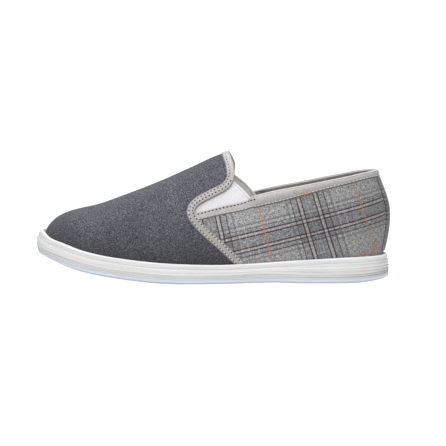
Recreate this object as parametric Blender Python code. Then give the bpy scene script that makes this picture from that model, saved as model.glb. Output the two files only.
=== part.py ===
"""Slip-on canvas shoe for the left foot, an assembly of separate pieces.

The toe points to -X, the outer side of the foot is at -Y and the floor is z = 0.
Sizes are in millimetres; MM turns them into metres where a mesh is made.
"""
import math
from collections import namedtuple

import bmesh
import bpy
import numpy as np

MM = 0.001

# Layers of the upper, measured outward from the face of the canvas
CANVAS_WALL = 2.0
FIT_GAP = 0.3
TAPE_THICKNESS = 0.8
STRIP_THICKNESS = 0.6
GORE_THICKNESS = 1.2
TAPE_OUT = FIT_GAP + TAPE_THICKNESS
TAPE_IN = -(CANVAS_WALL + FIT_GAP + TAPE_THICKNESS)
LINING_FACE = -(CANVAS_WALL + FIT_GAP)
FLAT_EDGE_RISE = 1.4

# Sole
CUP_DEPTH = 8.0
OUTSOLE_THICKNESS = 3.4
INSOLE_THICKNESS = 4.0
INSOLE_PLAY = 0.5
INSOLE_SET_IN = CANVAS_WALL + INSOLE_PLAY
TREAD_WIDTH = 3.0
TREAD_DEPTH = 1.2
TREAD_MARGIN = 8.0
TREAD_PITCH = 12.0
TREAD_RANGES = ((-92.0, -20.0), (64.0, 112.0))

# Tapes and strip on the upper
TAPE_WIDTH = 6.3
TONGUE_FOLD_FROM = 91.0
COLLAR_FOLD_FROM = 44.0
BACK_STRIP_WIDTH = 27.0
INNER_GORE_RISE = 2.2
NOTCH_ROUND = 2.0

# Spine of the last, where the sections' arches meet
HEEL_CENTRE_X = 103.0
TOE_CENTRE_X = -95.0
HEEL_CENTRE_Y = -1.7
TOE_CENTRE_Y = 4.5
SWELL_END = 0.72

# Fineness of the faceted solids
HEEL_STEPS = 8
MID_STEPS = 23
TOE_STEPS = 8
ARCH_STEPS = 11
CURVE_STEPS = 6
PLAN_STEPS = 40
COLLAR_STEP = 4.0
LIP_STEPS = 40
SHARP_ANGLE = 40.0

# Outline of the last's bottom edge in plan, heel to toe along the outer side and back
PlanRow = namedtuple("PlanRow", "place x y")
PLAN = (
    PlanRow("heel back", 135.6, -1.7),
    PlanRow("heel outer corner", 126.0, -24.0),
    PlanRow("heel outer side", 102.0, -33.5),
    PlanRow("waist outer side", 48.0, -35.2),
    PlanRow("arch outer side", 6.0, -40.5),
    PlanRow("ball outer side", -35.0, -45.9),
    PlanRow("forefoot outer side", -72.0, -43.2),
    PlanRow("toe outer corner", -108.0, -31.5),
    PlanRow("toe outer round", -125.0, -16.0),
    PlanRow("toe tip", -133.3, 4.5),
    PlanRow("toe inner round", -125.8, 24.0),
    PlanRow("toe inner corner", -108.5, 36.2),
    PlanRow("forefoot inner side", -82.0, 43.8),
    PlanRow("ball inner side", -53.0, 45.8),
    PlanRow("arch inner side", -14.0, 38.5),
    PlanRow("waist inner side", 27.0, 30.0),
    PlanRow("heel inner front", 62.0, 28.5),
    PlanRow("heel inner side", 102.0, 30.0),
    PlanRow("heel inner corner", 126.0, 20.5),
)

# Heights along the sole: its underside, the lip of its cup, and how far its side stands out
SoleRow = namedtuple("SoleRow", "x bottom lip flare")
SOLE = (
    SoleRow(-133.0, 18.9, 37.0, 7.4),
    SoleRow(-126.0, 16.6, 32.2, 6.4),
    SoleRow(-115.0, 12.9, 29.6, 5.2),
    SoleRow(-102.0, 9.0, 25.5, 4.6),
    SoleRow(-84.0, 5.3, 21.8, 4.2),
    SoleRow(-64.0, 2.1, 18.7, 4.2),
    SoleRow(-42.0, 0.0, 16.8, 4.2),
    SoleRow(4.0, 0.0, 15.0, 4.2),
    SoleRow(28.0, 0.8, 15.7, 4.2),
    SoleRow(46.0, 1.2, 16.7, 4.2),
    SoleRow(72.0, 0.0, 18.4, 4.2),
    SoleRow(108.0, 0.0, 20.3, 4.3),
    SoleRow(136.0, 1.6, 20.8, 4.6),
)

# Sections of the last: height of its ridge, power of the arch across and up, swell of the wall
LastRow = namedtuple("LastRow", "x ridge across up swell")
LAST = (
    LastRow(-133.0, 48.7, 5.0, 1.35, 0.0),
    LastRow(-122.0, 51.4, 4.3, 1.45, 0.0),
    LastRow(-110.0, 54.3, 3.4, 1.6, 0.2),
    LastRow(-93.0, 58.4, 2.8, 1.75, 0.5),
    LastRow(-73.0, 65.4, 2.5, 1.85, 0.8),
    LastRow(-45.0, 76.3, 2.3, 1.95, 1.2),
    LastRow(-16.0, 89.2, 2.2, 2.05, 1.5),
    LastRow(3.0, 98.0, 2.15, 2.15, 1.6),
    LastRow(14.0, 101.4, 2.15, 2.2, 1.6),
    LastRow(40.0, 106.0, 2.3, 2.3, 1.8),
    LastRow(75.0, 112.0, 2.5, 2.5, 2.8),
    LastRow(103.0, 115.0, 2.55, 2.55, 3.8),
    LastRow(136.0, 116.0, 2.6, 2.6, 5.3),
)

# Side of the cup from its bottom joint up: height as a share of the side, set in from the flare
SideRow = namedtuple("SideRow", "place heel_share fore_share heel_in fore_in")
CUP_SIDE = (
    SideRow("joint", 0.0, 0.0, 1.0, 1.0),
    SideRow("low rib", 0.07, 0.09, 0.1, 0.1),
    SideRow("groove over low rib", 0.15, 0.2, 0.8, 0.8),
    SideRow("second rib", 0.22, 0.3, 0.0, 0.0),
    SideRow("groove over second rib", 0.3, 0.41, 0.8, 0.8),
    SideRow("third rib", 0.37, 0.5, 0.0, 0.2),
    SideRow("groove over third rib", 0.45, 0.53, 0.9, 0.2),
    SideRow("fourth rib", 0.52, 0.56, 0.2, 0.2),
    SideRow("groove over fourth rib", 0.6, 0.59, 1.0, 0.3),
    SideRow("top rib", 0.67, 0.62, 0.5, 0.4),
    SideRow("groove under lip", 0.745, 0.68, 1.8, 1.7),
    SideRow("lip lower edge", 0.79, 0.74, 1.3, 1.3),
    SideRow("lip face", 0.92, 0.87, 1.3, 1.3),
)
RIB_CHANGE = (40.0, 92.0)
LIP_CREST_OUT = 2.1
LIP_INNER_EDGE = 1.1
LIP_INNER_DROP = 0.6

# The lip stands higher where the side flares more than along the foot
PLAIN_FLARE = 4.2
LIP_RISE = 0.6

# Side of the outsole: height over its underside, set in from the flare
BandRow = namedtuple("BandRow", "place height set_in")
OUTSOLE_SIDE = (
    BandRow("tread edge", 0.0, 2.6),
    BandRow("bevel", 0.8, 1.0),
    BandRow("band low", 1.8, 0.4),
    BandRow("band top", 3.0, 0.4),
    BandRow("joint", OUTSOLE_THICKNESS, 0.9),
)

# Middle of the tape on the vamp's back edge, seen from the side, sole to tongue
EdgeRow = namedtuple("EdgeRow", "place x z")
VAMP_EDGE = (
    EdgeRow("under the lip", 25.0, 11.0),
    EdgeRow("sole", 20.1, 16.6),
    EdgeRow("seam low", 6.6, 29.6),
    EdgeRow("seam high", -5.6, 40.3),
    EdgeRow("below notch", -15.2, 51.0),
    EdgeRow("notch", -17.0, 57.0),
    EdgeRow("over notch", -13.4, 63.0),
    EdgeRow("gore top middle", -2.6, 69.3),
    EdgeRow("gore top rear", 9.2, 75.5),
    EdgeRow("tongue corner", 13.4, 81.2),
    EdgeRow("tongue side", 14.1, 90.0),
    EdgeRow("tongue shoulder", 12.1, 96.4),
    EdgeRow("tongue top", 9.5, 103.0),
    EdgeRow("over the tongue", 9.0, 110.0),
)

# Top edge of the quarter and collar, notch to heel, with the depth of its tape
CollarRow = namedtuple("CollarRow", "x top tape")
COLLAR = (
    CollarRow(-17.0, 53.8, 5.6),
    CollarRow(6.0, 59.6, 6.0),
    CollarRow(28.0, 65.0, 6.6),
    CollarRow(35.0, 69.3, 9.6),
    CollarRow(50.0, 72.5, 9.6),
    CollarRow(70.0, 76.3, 8.0),
    CollarRow(101.0, 82.5, 6.2),
    CollarRow(124.0, 86.9, 5.3),
    CollarRow(146.0, 89.4, 5.1),
)

# Outline of the elastic panel seen from the side, its free edge between the first two corners
GORE = (
    EdgeRow("tongue end of free edge", 13.6, 82.4),
    EdgeRow("collar end of free edge", 34.0, 62.0),
    EdgeRow("under the collar tape", 29.0, 59.0),
    EdgeRow("under the quarter", 4.0, 52.6),
    EdgeRow("below notch", -14.0, 47.6),
    EdgeRow("before notch", -23.5, 56.0),
    EdgeRow("over notch", -17.5, 69.0),
    EdgeRow("under the vamp", 2.0, 79.0),
    EdgeRow("under the tongue", 8.0, 82.4),
)

# Reach of the side cutters across the shoe and beyond it
ACROSS = 90.0
BEFORE_SEAM = -40.0
BEYOND_HEEL = 170.0
ABOVE = 150.0
BELOW = -20.0

# Colours and roughness of the pieces
Finish = namedtuple("Finish", "colour roughness")
COOL_RUBBER = Finish((0.70, 0.74, 0.80), 0.5)
WHITE_RUBBER = Finish((0.80, 0.80, 0.78), 0.5)
FOOTBED = Finish((0.42, 0.38, 0.35), 0.9)
CANVAS = Finish((0.11, 0.11, 0.13), 0.9)
ELASTIC = Finish((0.80, 0.80, 0.83), 0.85)
TAPE = Finish((0.48, 0.46, 0.44), 0.85)
CHECK_CLOTH = Finish((0.30, 0.30, 0.31), 0.9)

Station = namedtuple("Station", "x y out_x out_y")


def steady_slopes(xs, values):
    """Slopes at the rows of a table that keep its curve from overshooting."""
    secants = np.diff(values) / np.diff(xs)
    slopes = np.zeros(len(values))
    slopes[0] = secants[0]
    slopes[-1] = secants[-1]
    for i in range(1, len(values) - 1):
        before = secants[i - 1]
        after = secants[i]
        if before * after > 0.0:
            slopes[i] = 2.0 * before * after / (before + after)
    return slopes


def along(rows, column, x):
    """Value of a table's column at length x, held level beyond its first and last rows."""
    xs = np.array([row.x for row in rows], float)
    values = np.array([getattr(row, column) for row in rows], float)
    slopes = steady_slopes(xs, values)
    x = min(max(x, xs[0]), xs[-1])
    i = min(max(int(np.searchsorted(xs, x)) - 1, 0), len(xs) - 2)
    span = xs[i + 1] - xs[i]
    t = (x - xs[i]) / span
    rise = t * t * (3.0 - 2.0 * t)
    bend_in = t * (1.0 - t) ** 2 * span * slopes[i]
    bend_out = t * t * (t - 1.0) * span * slopes[i + 1]
    return float(values[i] * (1.0 - rise) + values[i + 1] * rise + bend_in + bend_out)


def spline(points, closed, steps):
    """Smooth curve through points in a plane."""
    points = np.array(points, float)
    count = len(points)
    if closed:
        before = np.roll(points, 1, axis=0)
        after = np.roll(points, -1, axis=0)
        spans = count
    else:
        before = np.vstack([2.0 * points[0] - points[1], points[:-1]])
        after = np.vstack([points[1:], 2.0 * points[-1] - points[-2]])
        spans = count - 1
    back = np.linalg.norm(points - before, axis=1)
    ahead = np.linalg.norm(after - points, axis=1)
    tangents = (after - before) / (back + ahead)[:, None]
    curve = []
    for i in range(spans):
        j = (i + 1) % count
        span = ahead[i]
        for t in np.arange(steps) / steps:
            rise = t * t * (3.0 - 2.0 * t)
            bend_in = t * (1.0 - t) ** 2 * span * tangents[i]
            bend_out = t * t * (t - 1.0) * span * tangents[j]
            curve.append(points[i] * (1.0 - rise) + points[j] * rise + bend_in + bend_out)
    if not closed:
        curve.append(points[-1])
    return np.array(curve)


def ring_of_stations():
    """Stations round the last's bottom edge: heel tip, outer side, toe tip, inner side."""
    curve = spline([(row.x, row.y) for row in PLAN], True, PLAN_STEPS)
    tangent = np.roll(curve, -1, axis=0) - np.roll(curve, 1, axis=0)
    tangent /= np.linalg.norm(tangent, axis=1)[:, None]
    outward = np.column_stack([-tangent[:, 1], tangent[:, 0]])
    heel = int(np.argmax(curve[:, 0]))
    order = np.roll(np.arange(len(curve)), -heel)
    toe = int(np.argmin(curve[order, 0]))
    outer_side = order[: toe + 1]
    inner_side = np.append(order[toe:], order[0])[::-1]
    outer = side_stations(curve[outer_side], outward[outer_side])
    inner = side_stations(curve[inner_side], outward[inner_side])
    return outer + inner[-2:0:-1]


def side_stations(curve, outward):
    """Stations along one side from heel tip to toe tip, level with each other at midfoot."""
    lengths = np.append(0.0, np.cumsum(np.linalg.norm(np.diff(curve, axis=0), axis=1)))
    mid_x = np.linspace(HEEL_CENTRE_X, TOE_CENTRE_X, MID_STEPS + 1)
    mid = np.interp(-mid_x, -curve[:, 0], lengths)
    heel = np.linspace(0.0, mid[0], HEEL_STEPS + 1)
    toe = np.linspace(mid[-1], lengths[-1], TOE_STEPS + 1)
    places = np.concatenate([heel[:-1], mid[:-1], toe])
    columns = [curve[:, 0], curve[:, 1], outward[:, 0], outward[:, 1]]
    values = [np.interp(places, lengths, column) for column in columns]
    return [Station(*row) for row in np.column_stack(values)]


def spine_point(x):
    """Point of the spine that a station's section turns about, in plan."""
    held = min(max(x, TOE_CENTRE_X), HEEL_CENTRE_X)
    share = (HEEL_CENTRE_X - held) / (HEEL_CENTRE_X - TOE_CENTRE_X)
    return held, HEEL_CENTRE_Y + share * (TOE_CENTRE_Y - HEEL_CENTRE_Y)


def swell_shape(rise):
    """Share of the wall's swell at a height: full from the lip up, fading softly to the collar."""
    if rise >= SWELL_END:
        return 0.0
    wave = math.sin(math.pi * rise / SWELL_END)
    return wave if rise < SWELL_END / 2.0 else wave ** 2


def last_point(station, angle):
    """Point of the last on a station's section, from the lip (0) to the ridge (a right angle)."""
    centre_x, centre_y = spine_point(station.x)
    reach = math.hypot(station.x - centre_x, station.y - centre_y)
    across = max(math.cos(angle), 0.0) ** (2.0 / along(LAST, "across", station.x))
    rise = math.sin(angle) ** (2.0 / along(LAST, "up", station.x))
    radius = across + along(LAST, "swell", station.x) * swell_shape(rise) / reach
    x = centre_x + (station.x - centre_x) * radius
    y = centre_y + (station.y - centre_y) * radius
    lip = along(SOLE, "lip", station.x)
    return x, y, lip + (along(LAST, "ridge", x) - lip) * rise


def cup_floor(station):
    """Height of the cup's floor at a station."""
    return along(SOLE, "lip", station.x) - CUP_DEPTH


def last_sheet(ring):
    """Points, faces and outward directions of the last from the cup's floor to its ridge."""
    columns = len(ring)
    half = columns // 2
    angles = np.linspace(0.0, math.pi / 2.0, ARCH_STEPS + 1)[:-1]
    points = [(s.x, s.y, cup_floor(s) + FIT_GAP) for s in ring]
    for angle in angles:
        points += [last_point(s, angle) for s in ring]
    ridge_start = len(points)
    for station in ring[HEEL_STEPS : HEEL_STEPS + MID_STEPS + 1]:
        points.append(last_point(station, math.pi / 2.0))
    faces = []
    rows = len(angles)
    for row in range(rows):
        low = row * columns
        for i in range(columns):
            j = (i + 1) % columns
            faces.append((low + j, low + i, low + columns + i, low + columns + j))
    top = rows * columns
    for i in range(columns):
        j = (i + 1) % columns
        over_i = ridge_start + ridge_index(i, half)
        over_j = ridge_start + ridge_index(j, half)
        corners = (top + j, top + i, over_i, over_j)
        faces.append(corners if over_i != over_j else corners[:3])
    points = np.array(points)
    return points, faces, vertex_directions(points, faces)


def ridge_index(i, half):
    """Place along the ridge of the point that a station's section runs up to."""
    from_heel = i if i <= half else 2 * half - i
    return min(max(from_heel - HEEL_STEPS, 0), MID_STEPS)


def vertex_directions(points, faces):
    """Unit directions out of a sheet at its points."""
    directions = np.zeros_like(points)
    for face in faces:
        first, second, third = points[face[0]], points[face[1]], points[face[2]]
        last = points[face[-1]]
        normal = np.cross(third - first, last - second) if len(face) == 4 else None
        if normal is None:
            normal = np.cross(second - first, third - first)
        for corner in face:
            directions[corner] += normal
    return directions / np.linalg.norm(directions, axis=1)[:, None]


def new_solid(name, points, faces):
    """Closed mesh object from points in millimetres, with its faces turned outward."""
    mesh = bpy.data.meshes.new(name)
    mesh.from_pydata([tuple(point) for point in np.array(points) * MM], [], faces)
    body = bmesh.new()
    body.from_mesh(mesh)
    bmesh.ops.recalc_face_normals(body, faces=body.faces)
    body.to_mesh(mesh)
    body.free()
    solid = bpy.data.objects.new(name, mesh)
    bpy.context.scene.collection.objects.link(solid)
    return solid


def shell(name, sheet, ring, low, high):
    """Solid between two faces of the last, each at its distance out from the canvas."""
    points, faces, directions = sheet
    count = len(points)
    columns = len(ring)
    inner = points + directions * np.broadcast_to(low, count)[:, None]
    both = np.vstack([points + directions * high, inner])
    walls = list(faces)
    walls += [tuple(corner + count for corner in reversed(face)) for face in faces]
    for i in range(columns):
        j = (i + 1) % columns
        walls.append((i, j, j + count, i + count))
    return new_solid(name, both, walls)


def side_prism(name, outline, near=-ACROSS, far=ACROSS):
    """Block with an outline seen from the side, from one side of the shoe to the other."""
    count = len(outline)
    points = [(x, near, z) for x, z in outline] + [(x, far, z) for x, z in outline]
    faces = [tuple(range(count)), tuple(range(2 * count - 1, count - 1, -1))]
    for i in range(count):
        j = (i + 1) % count
        faces.append((i, j, j + count, i + count))
    return new_solid(name, points, faces)


def combine(body, tool, operation):
    """Join, cut or trim a solid with another, which is used up."""
    step = body.modifiers.new(operation.lower(), "BOOLEAN")
    step.operation = operation
    step.solver = "EXACT"
    step.object = tool
    graph = bpy.context.evaluated_depsgraph_get()
    mesh = bpy.data.meshes.new_from_object(body.evaluated_get(graph))
    body.modifiers.clear()
    body.data = mesh
    bpy.data.objects.remove(tool)
    return body


def shifted(curve, distance):
    """Curve seen from the side moved to the right of its direction."""
    tangent = np.gradient(curve, axis=0)
    tangent /= np.linalg.norm(tangent, axis=1)[:, None]
    right = np.column_stack([tangent[:, 1], -tangent[:, 0]])
    return curve + np.broadcast_to(distance, len(curve))[:, None] * right


def vamp_line():
    """Middle of the vamp's tape seen from the side."""
    return spline([(row.x, row.z) for row in VAMP_EDGE], False, CURVE_STEPS)


def collar_line(drop, start, column_share):
    """Collar edge from a start length to behind the heel, lowered by a drop and a share of its tape."""
    xs = np.arange(start, COLLAR[-1].x + COLLAR_STEP / 4.0, COLLAR_STEP)
    lows = [along(COLLAR, "top", x) - drop - column_share * along(COLLAR, "tape", x) for x in xs]
    return np.column_stack([xs, lows])


def opening_outline(rise):
    """Outline of all that the upper leaves open, its edges raised by a clearance given by place."""
    line = vamp_line()
    rises = np.array([rise(x, z) for x, z in line])
    edge = shifted(line, TAPE_WIDTH / 2.0 - TAPE_OUT + rises)
    notch = int(np.argmin(edge[:, 0]))
    collar = collar_line(TAPE_OUT, edge[notch, 0] + NOTCH_ROUND, 0.0)
    collar[:, 1] += [rise(x, z) for x, z in collar]
    corners = [(BEYOND_HEEL, collar[-1, 1]), (BEYOND_HEEL, ABOVE), (edge[-1, 0], ABOVE)]
    return np.vstack([edge[notch:][::-1], collar, corners])


def vamp_tape_outline(spread):
    """Outline of the vamp's tape seen from the side, widened by a clearance."""
    line = vamp_line()
    half = TAPE_WIDTH / 2.0 + spread
    return np.vstack([shifted(line, half), shifted(line, -half)[::-1]])


def collar_tape_outline():
    """Outline of the collar's tape seen from the side."""
    start = COLLAR[0].x
    return np.vstack([collar_line(0.0, start, 0.0), collar_line(0.0, start, 1.0)[::-1]])


def below_lip_outline():
    """Outline of all that lies under the lip of the cup."""
    xs = np.linspace(BEFORE_SEAM, COLLAR[-1].x, LIP_STEPS)
    line = [(x, along(SOLE, "lip", x) + FIT_GAP) for x in xs]
    return np.array(line + [(xs[-1], BELOW), (xs[0], BELOW)])


def box_outline(low_x, high_x, low_z, high_z):
    """Rectangle seen from the side."""
    return np.array([(low_x, low_z), (high_x, low_z), (high_x, high_z), (low_x, high_z)])


def build_upper(sheet, ring):
    """Hollow canvas upper, open at the collar, the throat, the side notches and underneath."""
    upper = shell("upper", sheet, ring, -CANVAS_WALL, 0.0)
    outline = opening_outline(lambda x, z: 0.0)
    return combine(upper, side_prism("opening", outline), "DIFFERENCE")


def upper_clearance(folded, sheet, ring):
    """Upper grown by the fit gap, and filled inside and above its edge where a tape lies flat."""
    fold = [folded(x, z) for x, y, z in sheet[0]]
    low = np.where(fold, LINING_FACE, TAPE_IN - FIT_GAP)
    body = shell("clearance", sheet, ring, low, FIT_GAP)
    outline = opening_outline(lambda x, z: FIT_GAP if folded(x, z) else FLAT_EDGE_RISE)
    return combine(body, side_prism("opening", outline), "DIFFERENCE")


def build_tape(name, outline, folded, sheet, ring):
    """Tape wrapped over the upper's edge where it is folded, elsewhere flat on its outside."""
    tape = shell(name, sheet, ring, TAPE_IN, TAPE_OUT)
    combine(tape, side_prism("band", outline), "INTERSECT")
    combine(tape, upper_clearance(folded, sheet, ring), "DIFFERENCE")
    return combine(tape, side_prism("below lip", below_lip_outline()), "DIFFERENCE")


def build_collar_tape(sheet, ring):
    """Collar tape from notch to notch round the heel, stopped short of the vamp's tape."""
    outline = collar_tape_outline()
    tape = build_tape("collar_tape", outline, lambda x, z: x > COLLAR_FOLD_FROM, sheet, ring)
    return combine(tape, side_prism("vamp tape", vamp_tape_outline(FIT_GAP)), "DIFFERENCE")


def build_vamp_tape(sheet, ring):
    """Vamp tape from the outer side of the sole over the tongue to the inner side."""
    outline = vamp_tape_outline(0.0)
    return build_tape("vamp_tape", outline, lambda x, z: z > TONGUE_FOLD_FROM, sheet, ring)


def build_back_strip(sheet, ring):
    """Strip over the back seam from the lip of the cup to the collar tape."""
    strip = shell("back_strip", sheet, ring, FIT_GAP, FIT_GAP + STRIP_THICKNESS)
    top = collar_line(FIT_GAP, HEEL_CENTRE_X, 1.0)
    low = along(SOLE, "lip", PLAN[0].x) + FIT_GAP
    near = HEEL_CENTRE_Y - BACK_STRIP_WIDTH / 2.0
    far = HEEL_CENTRE_Y + BACK_STRIP_WIDTH / 2.0
    outline = np.vstack([top, [(top[-1, 0], low), (HEEL_CENTRE_X, low)]])
    return combine(strip, side_prism("strip band", outline, near, far), "INTERSECT")


def build_gore(name, near, far, rise, sheet, ring):
    """Elastic panel behind the notch on one side, its free edge raised towards the collar."""
    gore = shell(name, sheet, ring, LINING_FACE - GORE_THICKNESS, LINING_FACE)
    free_edge = [(row.x + rise, row.z + rise) for row in GORE[:2]]
    outline = free_edge + [(row.x, row.z) for row in GORE[2:]]
    return combine(gore, side_prism("gore outline", outline, near, far), "INTERSECT")


def ring_solid(name, loops):
    """Solid through closed loops of points, its first and last loops filled straight across."""
    columns = len(loops[0])
    half = columns // 2
    points = [point for loop in loops for point in loop]
    faces = []
    for level in range(len(loops) - 1):
        low = level * columns
        for i in range(columns):
            j = (i + 1) % columns
            faces.append((low + i, low + j, low + columns + j, low + columns + i))
    for start in (0, (len(loops) - 1) * columns):
        faces.append((start, start + 1, start + columns - 1))
        for i in range(1, half - 1):
            faces.append((start + i, start + i + 1, start + columns - i - 1, start + columns - i))
        faces.append((start + half - 1, start + half, start + half + 1))
    return new_solid(name, points, faces)


def loop_at(ring, out, height):
    """Loop of points at a distance out from the last and a height, each given per station."""
    loop = []
    for station in ring:
        away = out(station)
        loop.append((station.x + station.out_x * away, station.y + station.out_y * away, height(station)))
    return loop


def bottom_at(station):
    """Height of the sole's underside at a station."""
    return along(SOLE, "bottom", station.x)


def flare_at(station):
    """How far the sole's side stands out from the last at a station."""
    return along(SOLE, "flare", station.x)


def lip_crest(station):
    """Height of the lip's crest at a station."""
    return along(SOLE, "lip", station.x) + LIP_RISE * (flare_at(station) - PLAIN_FLARE)


def heel_share(station):
    """Share of the heel's ribs in the side at a station, the rest being the forefoot's."""
    low, high = RIB_CHANGE
    t = min(max((station.x - low) / (high - low), 0.0), 1.0)
    return t * t * (3.0 - 2.0 * t)


def build_midsole(ring):
    """Cup with ribbed side, rounded lip and a floor for the upper and insole."""

    def side_out(row):
        def out(station):
            share = heel_share(station)
            return flare_at(station) - row.heel_in * share - row.fore_in * (1.0 - share)

        return out

    def side_height(row):
        def height(station):
            share = heel_share(station)
            low = bottom_at(station) + OUTSOLE_THICKNESS + FIT_GAP
            part = row.heel_share * share + row.fore_share * (1.0 - share)
            return low + part * (lip_crest(station) - low)

        return height

    loops = [loop_at(ring, side_out(row), side_height(row)) for row in CUP_SIDE]
    loops.append(loop_at(ring, lambda s: LIP_CREST_OUT, lip_crest))
    loops.append(loop_at(ring, lambda s: LIP_INNER_EDGE, lambda s: along(SOLE, "lip", s.x)))
    loops.append(loop_at(ring, lambda s: FIT_GAP, lambda s: along(SOLE, "lip", s.x) - LIP_INNER_DROP))
    loops.append(loop_at(ring, lambda s: FIT_GAP, cup_floor))
    return ring_solid("midsole", loops)


def build_outsole(ring):
    """Bottom layer with its side band and flex grooves across the forefoot and heel."""
    loops = []
    for row in OUTSOLE_SIDE:
        loops.append(
            loop_at(
                ring,
                lambda s, row=row: flare_at(s) - row.set_in,
                lambda s, row=row: bottom_at(s) + row.height,
            )
        )
    outsole = ring_solid("outsole", loops)
    half = len(ring) // 2
    outer = ring[: half + 1]
    inner = [ring[0]] + ring[: half - 1 : -1]
    outer_x = [-s.x for s in outer]
    inner_x = [-s.x for s in inner]
    for first, last in TREAD_RANGES:
        for x in np.arange(first, last, TREAD_PITCH):
            near = np.interp(-x, outer_x, [s.y for s in outer]) + TREAD_MARGIN
            far = np.interp(-x, inner_x, [s.y for s in inner]) - TREAD_MARGIN
            low = along(SOLE, "bottom", x)
            outline = box_outline(x, x + TREAD_WIDTH, low - TREAD_PITCH, low + TREAD_DEPTH)
            combine(outsole, side_prism("tread groove", outline, near, far), "DIFFERENCE")
    return outsole


def build_insole(ring):
    """Footbed lying on the cup's floor inside the upper."""
    low = loop_at(ring, lambda s: -INSOLE_SET_IN, lambda s: cup_floor(s) + FIT_GAP)
    high = loop_at(ring, lambda s: -INSOLE_SET_IN, lambda s: cup_floor(s) + FIT_GAP + INSOLE_THICKNESS)
    return ring_solid("insole", [low, high])


def finish(solid, look):
    """Material and shading of a piece."""
    material = bpy.data.materials.new(solid.name)
    material.use_nodes = True
    shader = material.node_tree.nodes["Principled BSDF"]
    shader.inputs["Base Color"].default_value = (*look.colour, 1.0)
    shader.inputs["Roughness"].default_value = look.roughness
    solid.data.materials.clear()
    solid.data.materials.append(material)
    solid.data.shade_smooth()
    solid.data.set_sharp_from_angle(angle=math.radians(SHARP_ANGLE))


for old in list(bpy.data.objects):
    bpy.data.objects.remove(old)

ring = ring_of_stations()
sheet = last_sheet(ring)
finish(build_outsole(ring), COOL_RUBBER)
finish(build_midsole(ring), WHITE_RUBBER)
finish(build_insole(ring), FOOTBED)
finish(build_upper(sheet, ring), CANVAS)
finish(build_gore("gore_outer", -ACROSS, 0.0, 0.0, sheet, ring), ELASTIC)
finish(build_gore("gore_inner", 0.0, ACROSS, INNER_GORE_RISE, sheet, ring), ELASTIC)
finish(build_vamp_tape(sheet, ring), TAPE)
finish(build_collar_tape(sheet, ring), TAPE)
finish(build_back_strip(sheet, ring), CHECK_CLOTH)
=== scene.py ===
"""Slip-on canvas shoe for the left foot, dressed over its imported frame.

The toe points to -X, the outer side of the foot is at -Y and the floor is z = 0.
Sizes are in millimetres; MM turns them into metres where a mesh is made.
"""
import math
from collections import namedtuple

import bmesh
import bpy
import numpy as np
from mathutils import Matrix


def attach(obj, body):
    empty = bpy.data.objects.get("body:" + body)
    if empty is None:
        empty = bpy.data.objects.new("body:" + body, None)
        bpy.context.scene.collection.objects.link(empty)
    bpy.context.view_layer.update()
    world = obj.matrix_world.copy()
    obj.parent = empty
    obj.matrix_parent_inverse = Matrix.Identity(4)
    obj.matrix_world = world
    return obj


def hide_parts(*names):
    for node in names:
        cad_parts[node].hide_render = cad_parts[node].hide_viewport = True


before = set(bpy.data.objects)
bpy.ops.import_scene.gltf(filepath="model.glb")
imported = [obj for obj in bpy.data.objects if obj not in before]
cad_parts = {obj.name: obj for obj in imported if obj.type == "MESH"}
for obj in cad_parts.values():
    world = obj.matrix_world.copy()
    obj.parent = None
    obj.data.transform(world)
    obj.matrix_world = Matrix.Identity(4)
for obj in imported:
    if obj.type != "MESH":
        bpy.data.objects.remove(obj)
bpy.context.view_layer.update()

MM = 0.001
OUTER = -1
INNER = 1
TOP_ANGLE = math.pi / 2.0


def table(columns, rows):
    """Rows with named columns; the columns that a row leaves out at its end are zero."""
    kind = namedtuple("Row", columns, defaults=[0.0] * len(columns.split()))
    return [kind(*row) for row in rows]


def columns_of(rows, names):
    """Columns of a table side by side."""
    return np.array([[getattr(row, name) for name in names.split()] for row in rows], float)


def grey(level):
    """Colour with three equal parts."""
    return (level, level, level)


# Layers of the upper, measured outward from the face of the canvas
CANVAS_WALL = 2.0
FIT_GAP = 0.3
STRIP_THICKNESS = 0.7
GORE_FACE = -2.35
GORE_THICKNESS = 1.1
STRIP_GAP = 0.1

# Block cut out of the upper to open it, reaching past the shoe behind, above and at both sides
OPENING_STEPS = 12
OPENING_STEP = 2.0
OPENING_REAR = 170.0
OPENING_TOP = 150.0
OPENING_SIDE = 90.0
COLLAR_EDGE_DROP = 1.1

# Sole
CUP_DEPTH = 8.0
OUTSOLE_THICKNESS = 3.4
INSOLE_THICKNESS = 4.0
INSOLE_SET_IN = 2.6
INSOLE_ROUND = 1.2
INSOLE_CUPPING = 1.6
INSOLE_HEEL = (40.0, 100.0)
INSOLE_HOLLOW = 0.5
INSOLE_RIM = 0.4
INSOLE_STEPS = 6
INSOLE_SHARES = (0.95, 0.88, 0.78, 0.65, 0.5, 0.35, 0.2, 0.1)
TREAD_WIDTH = 3.0
TREAD_DEPTH = 1.2
TREAD_MARGIN = 8.0
TREAD_PITCH = 12.0
TREAD_BELOW = 9.0
TREAD_SHARP = 35.0
TREAD_RANGES = ((-92.0, -20.0), (64.0, 112.0))
RIB_CHANGE = (40.0, 92.0)
LIP_CREST_OUT = 2.1
LIP_INNER_EDGE = 1.1
LIP_INNER_DROP = 0.6
LIP_INNER_SHARE = 0.8
LIP_EDGE_DROP = 0.1
CUP_WALL_OUT = 0.15
LIP_STEPS = 6
PLAIN_FLARE = 4.2
LIP_RISE = 0.6
RIB_SHARE = 0.75
HEEL_RIB_GAIN = 0.35
RIB_MEAN = 0.6
HEEL_RIBS = (95.0, 128.0)
TOE_ROUND = (-108.0, -132.0)
TOE_TUCK = 2.4
JOINT_TUCK = 0.8
TUCK_SHARE = 0.25
LIP_LEAN = 3.2
LIP_LEAN_FROM = 0.55

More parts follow.
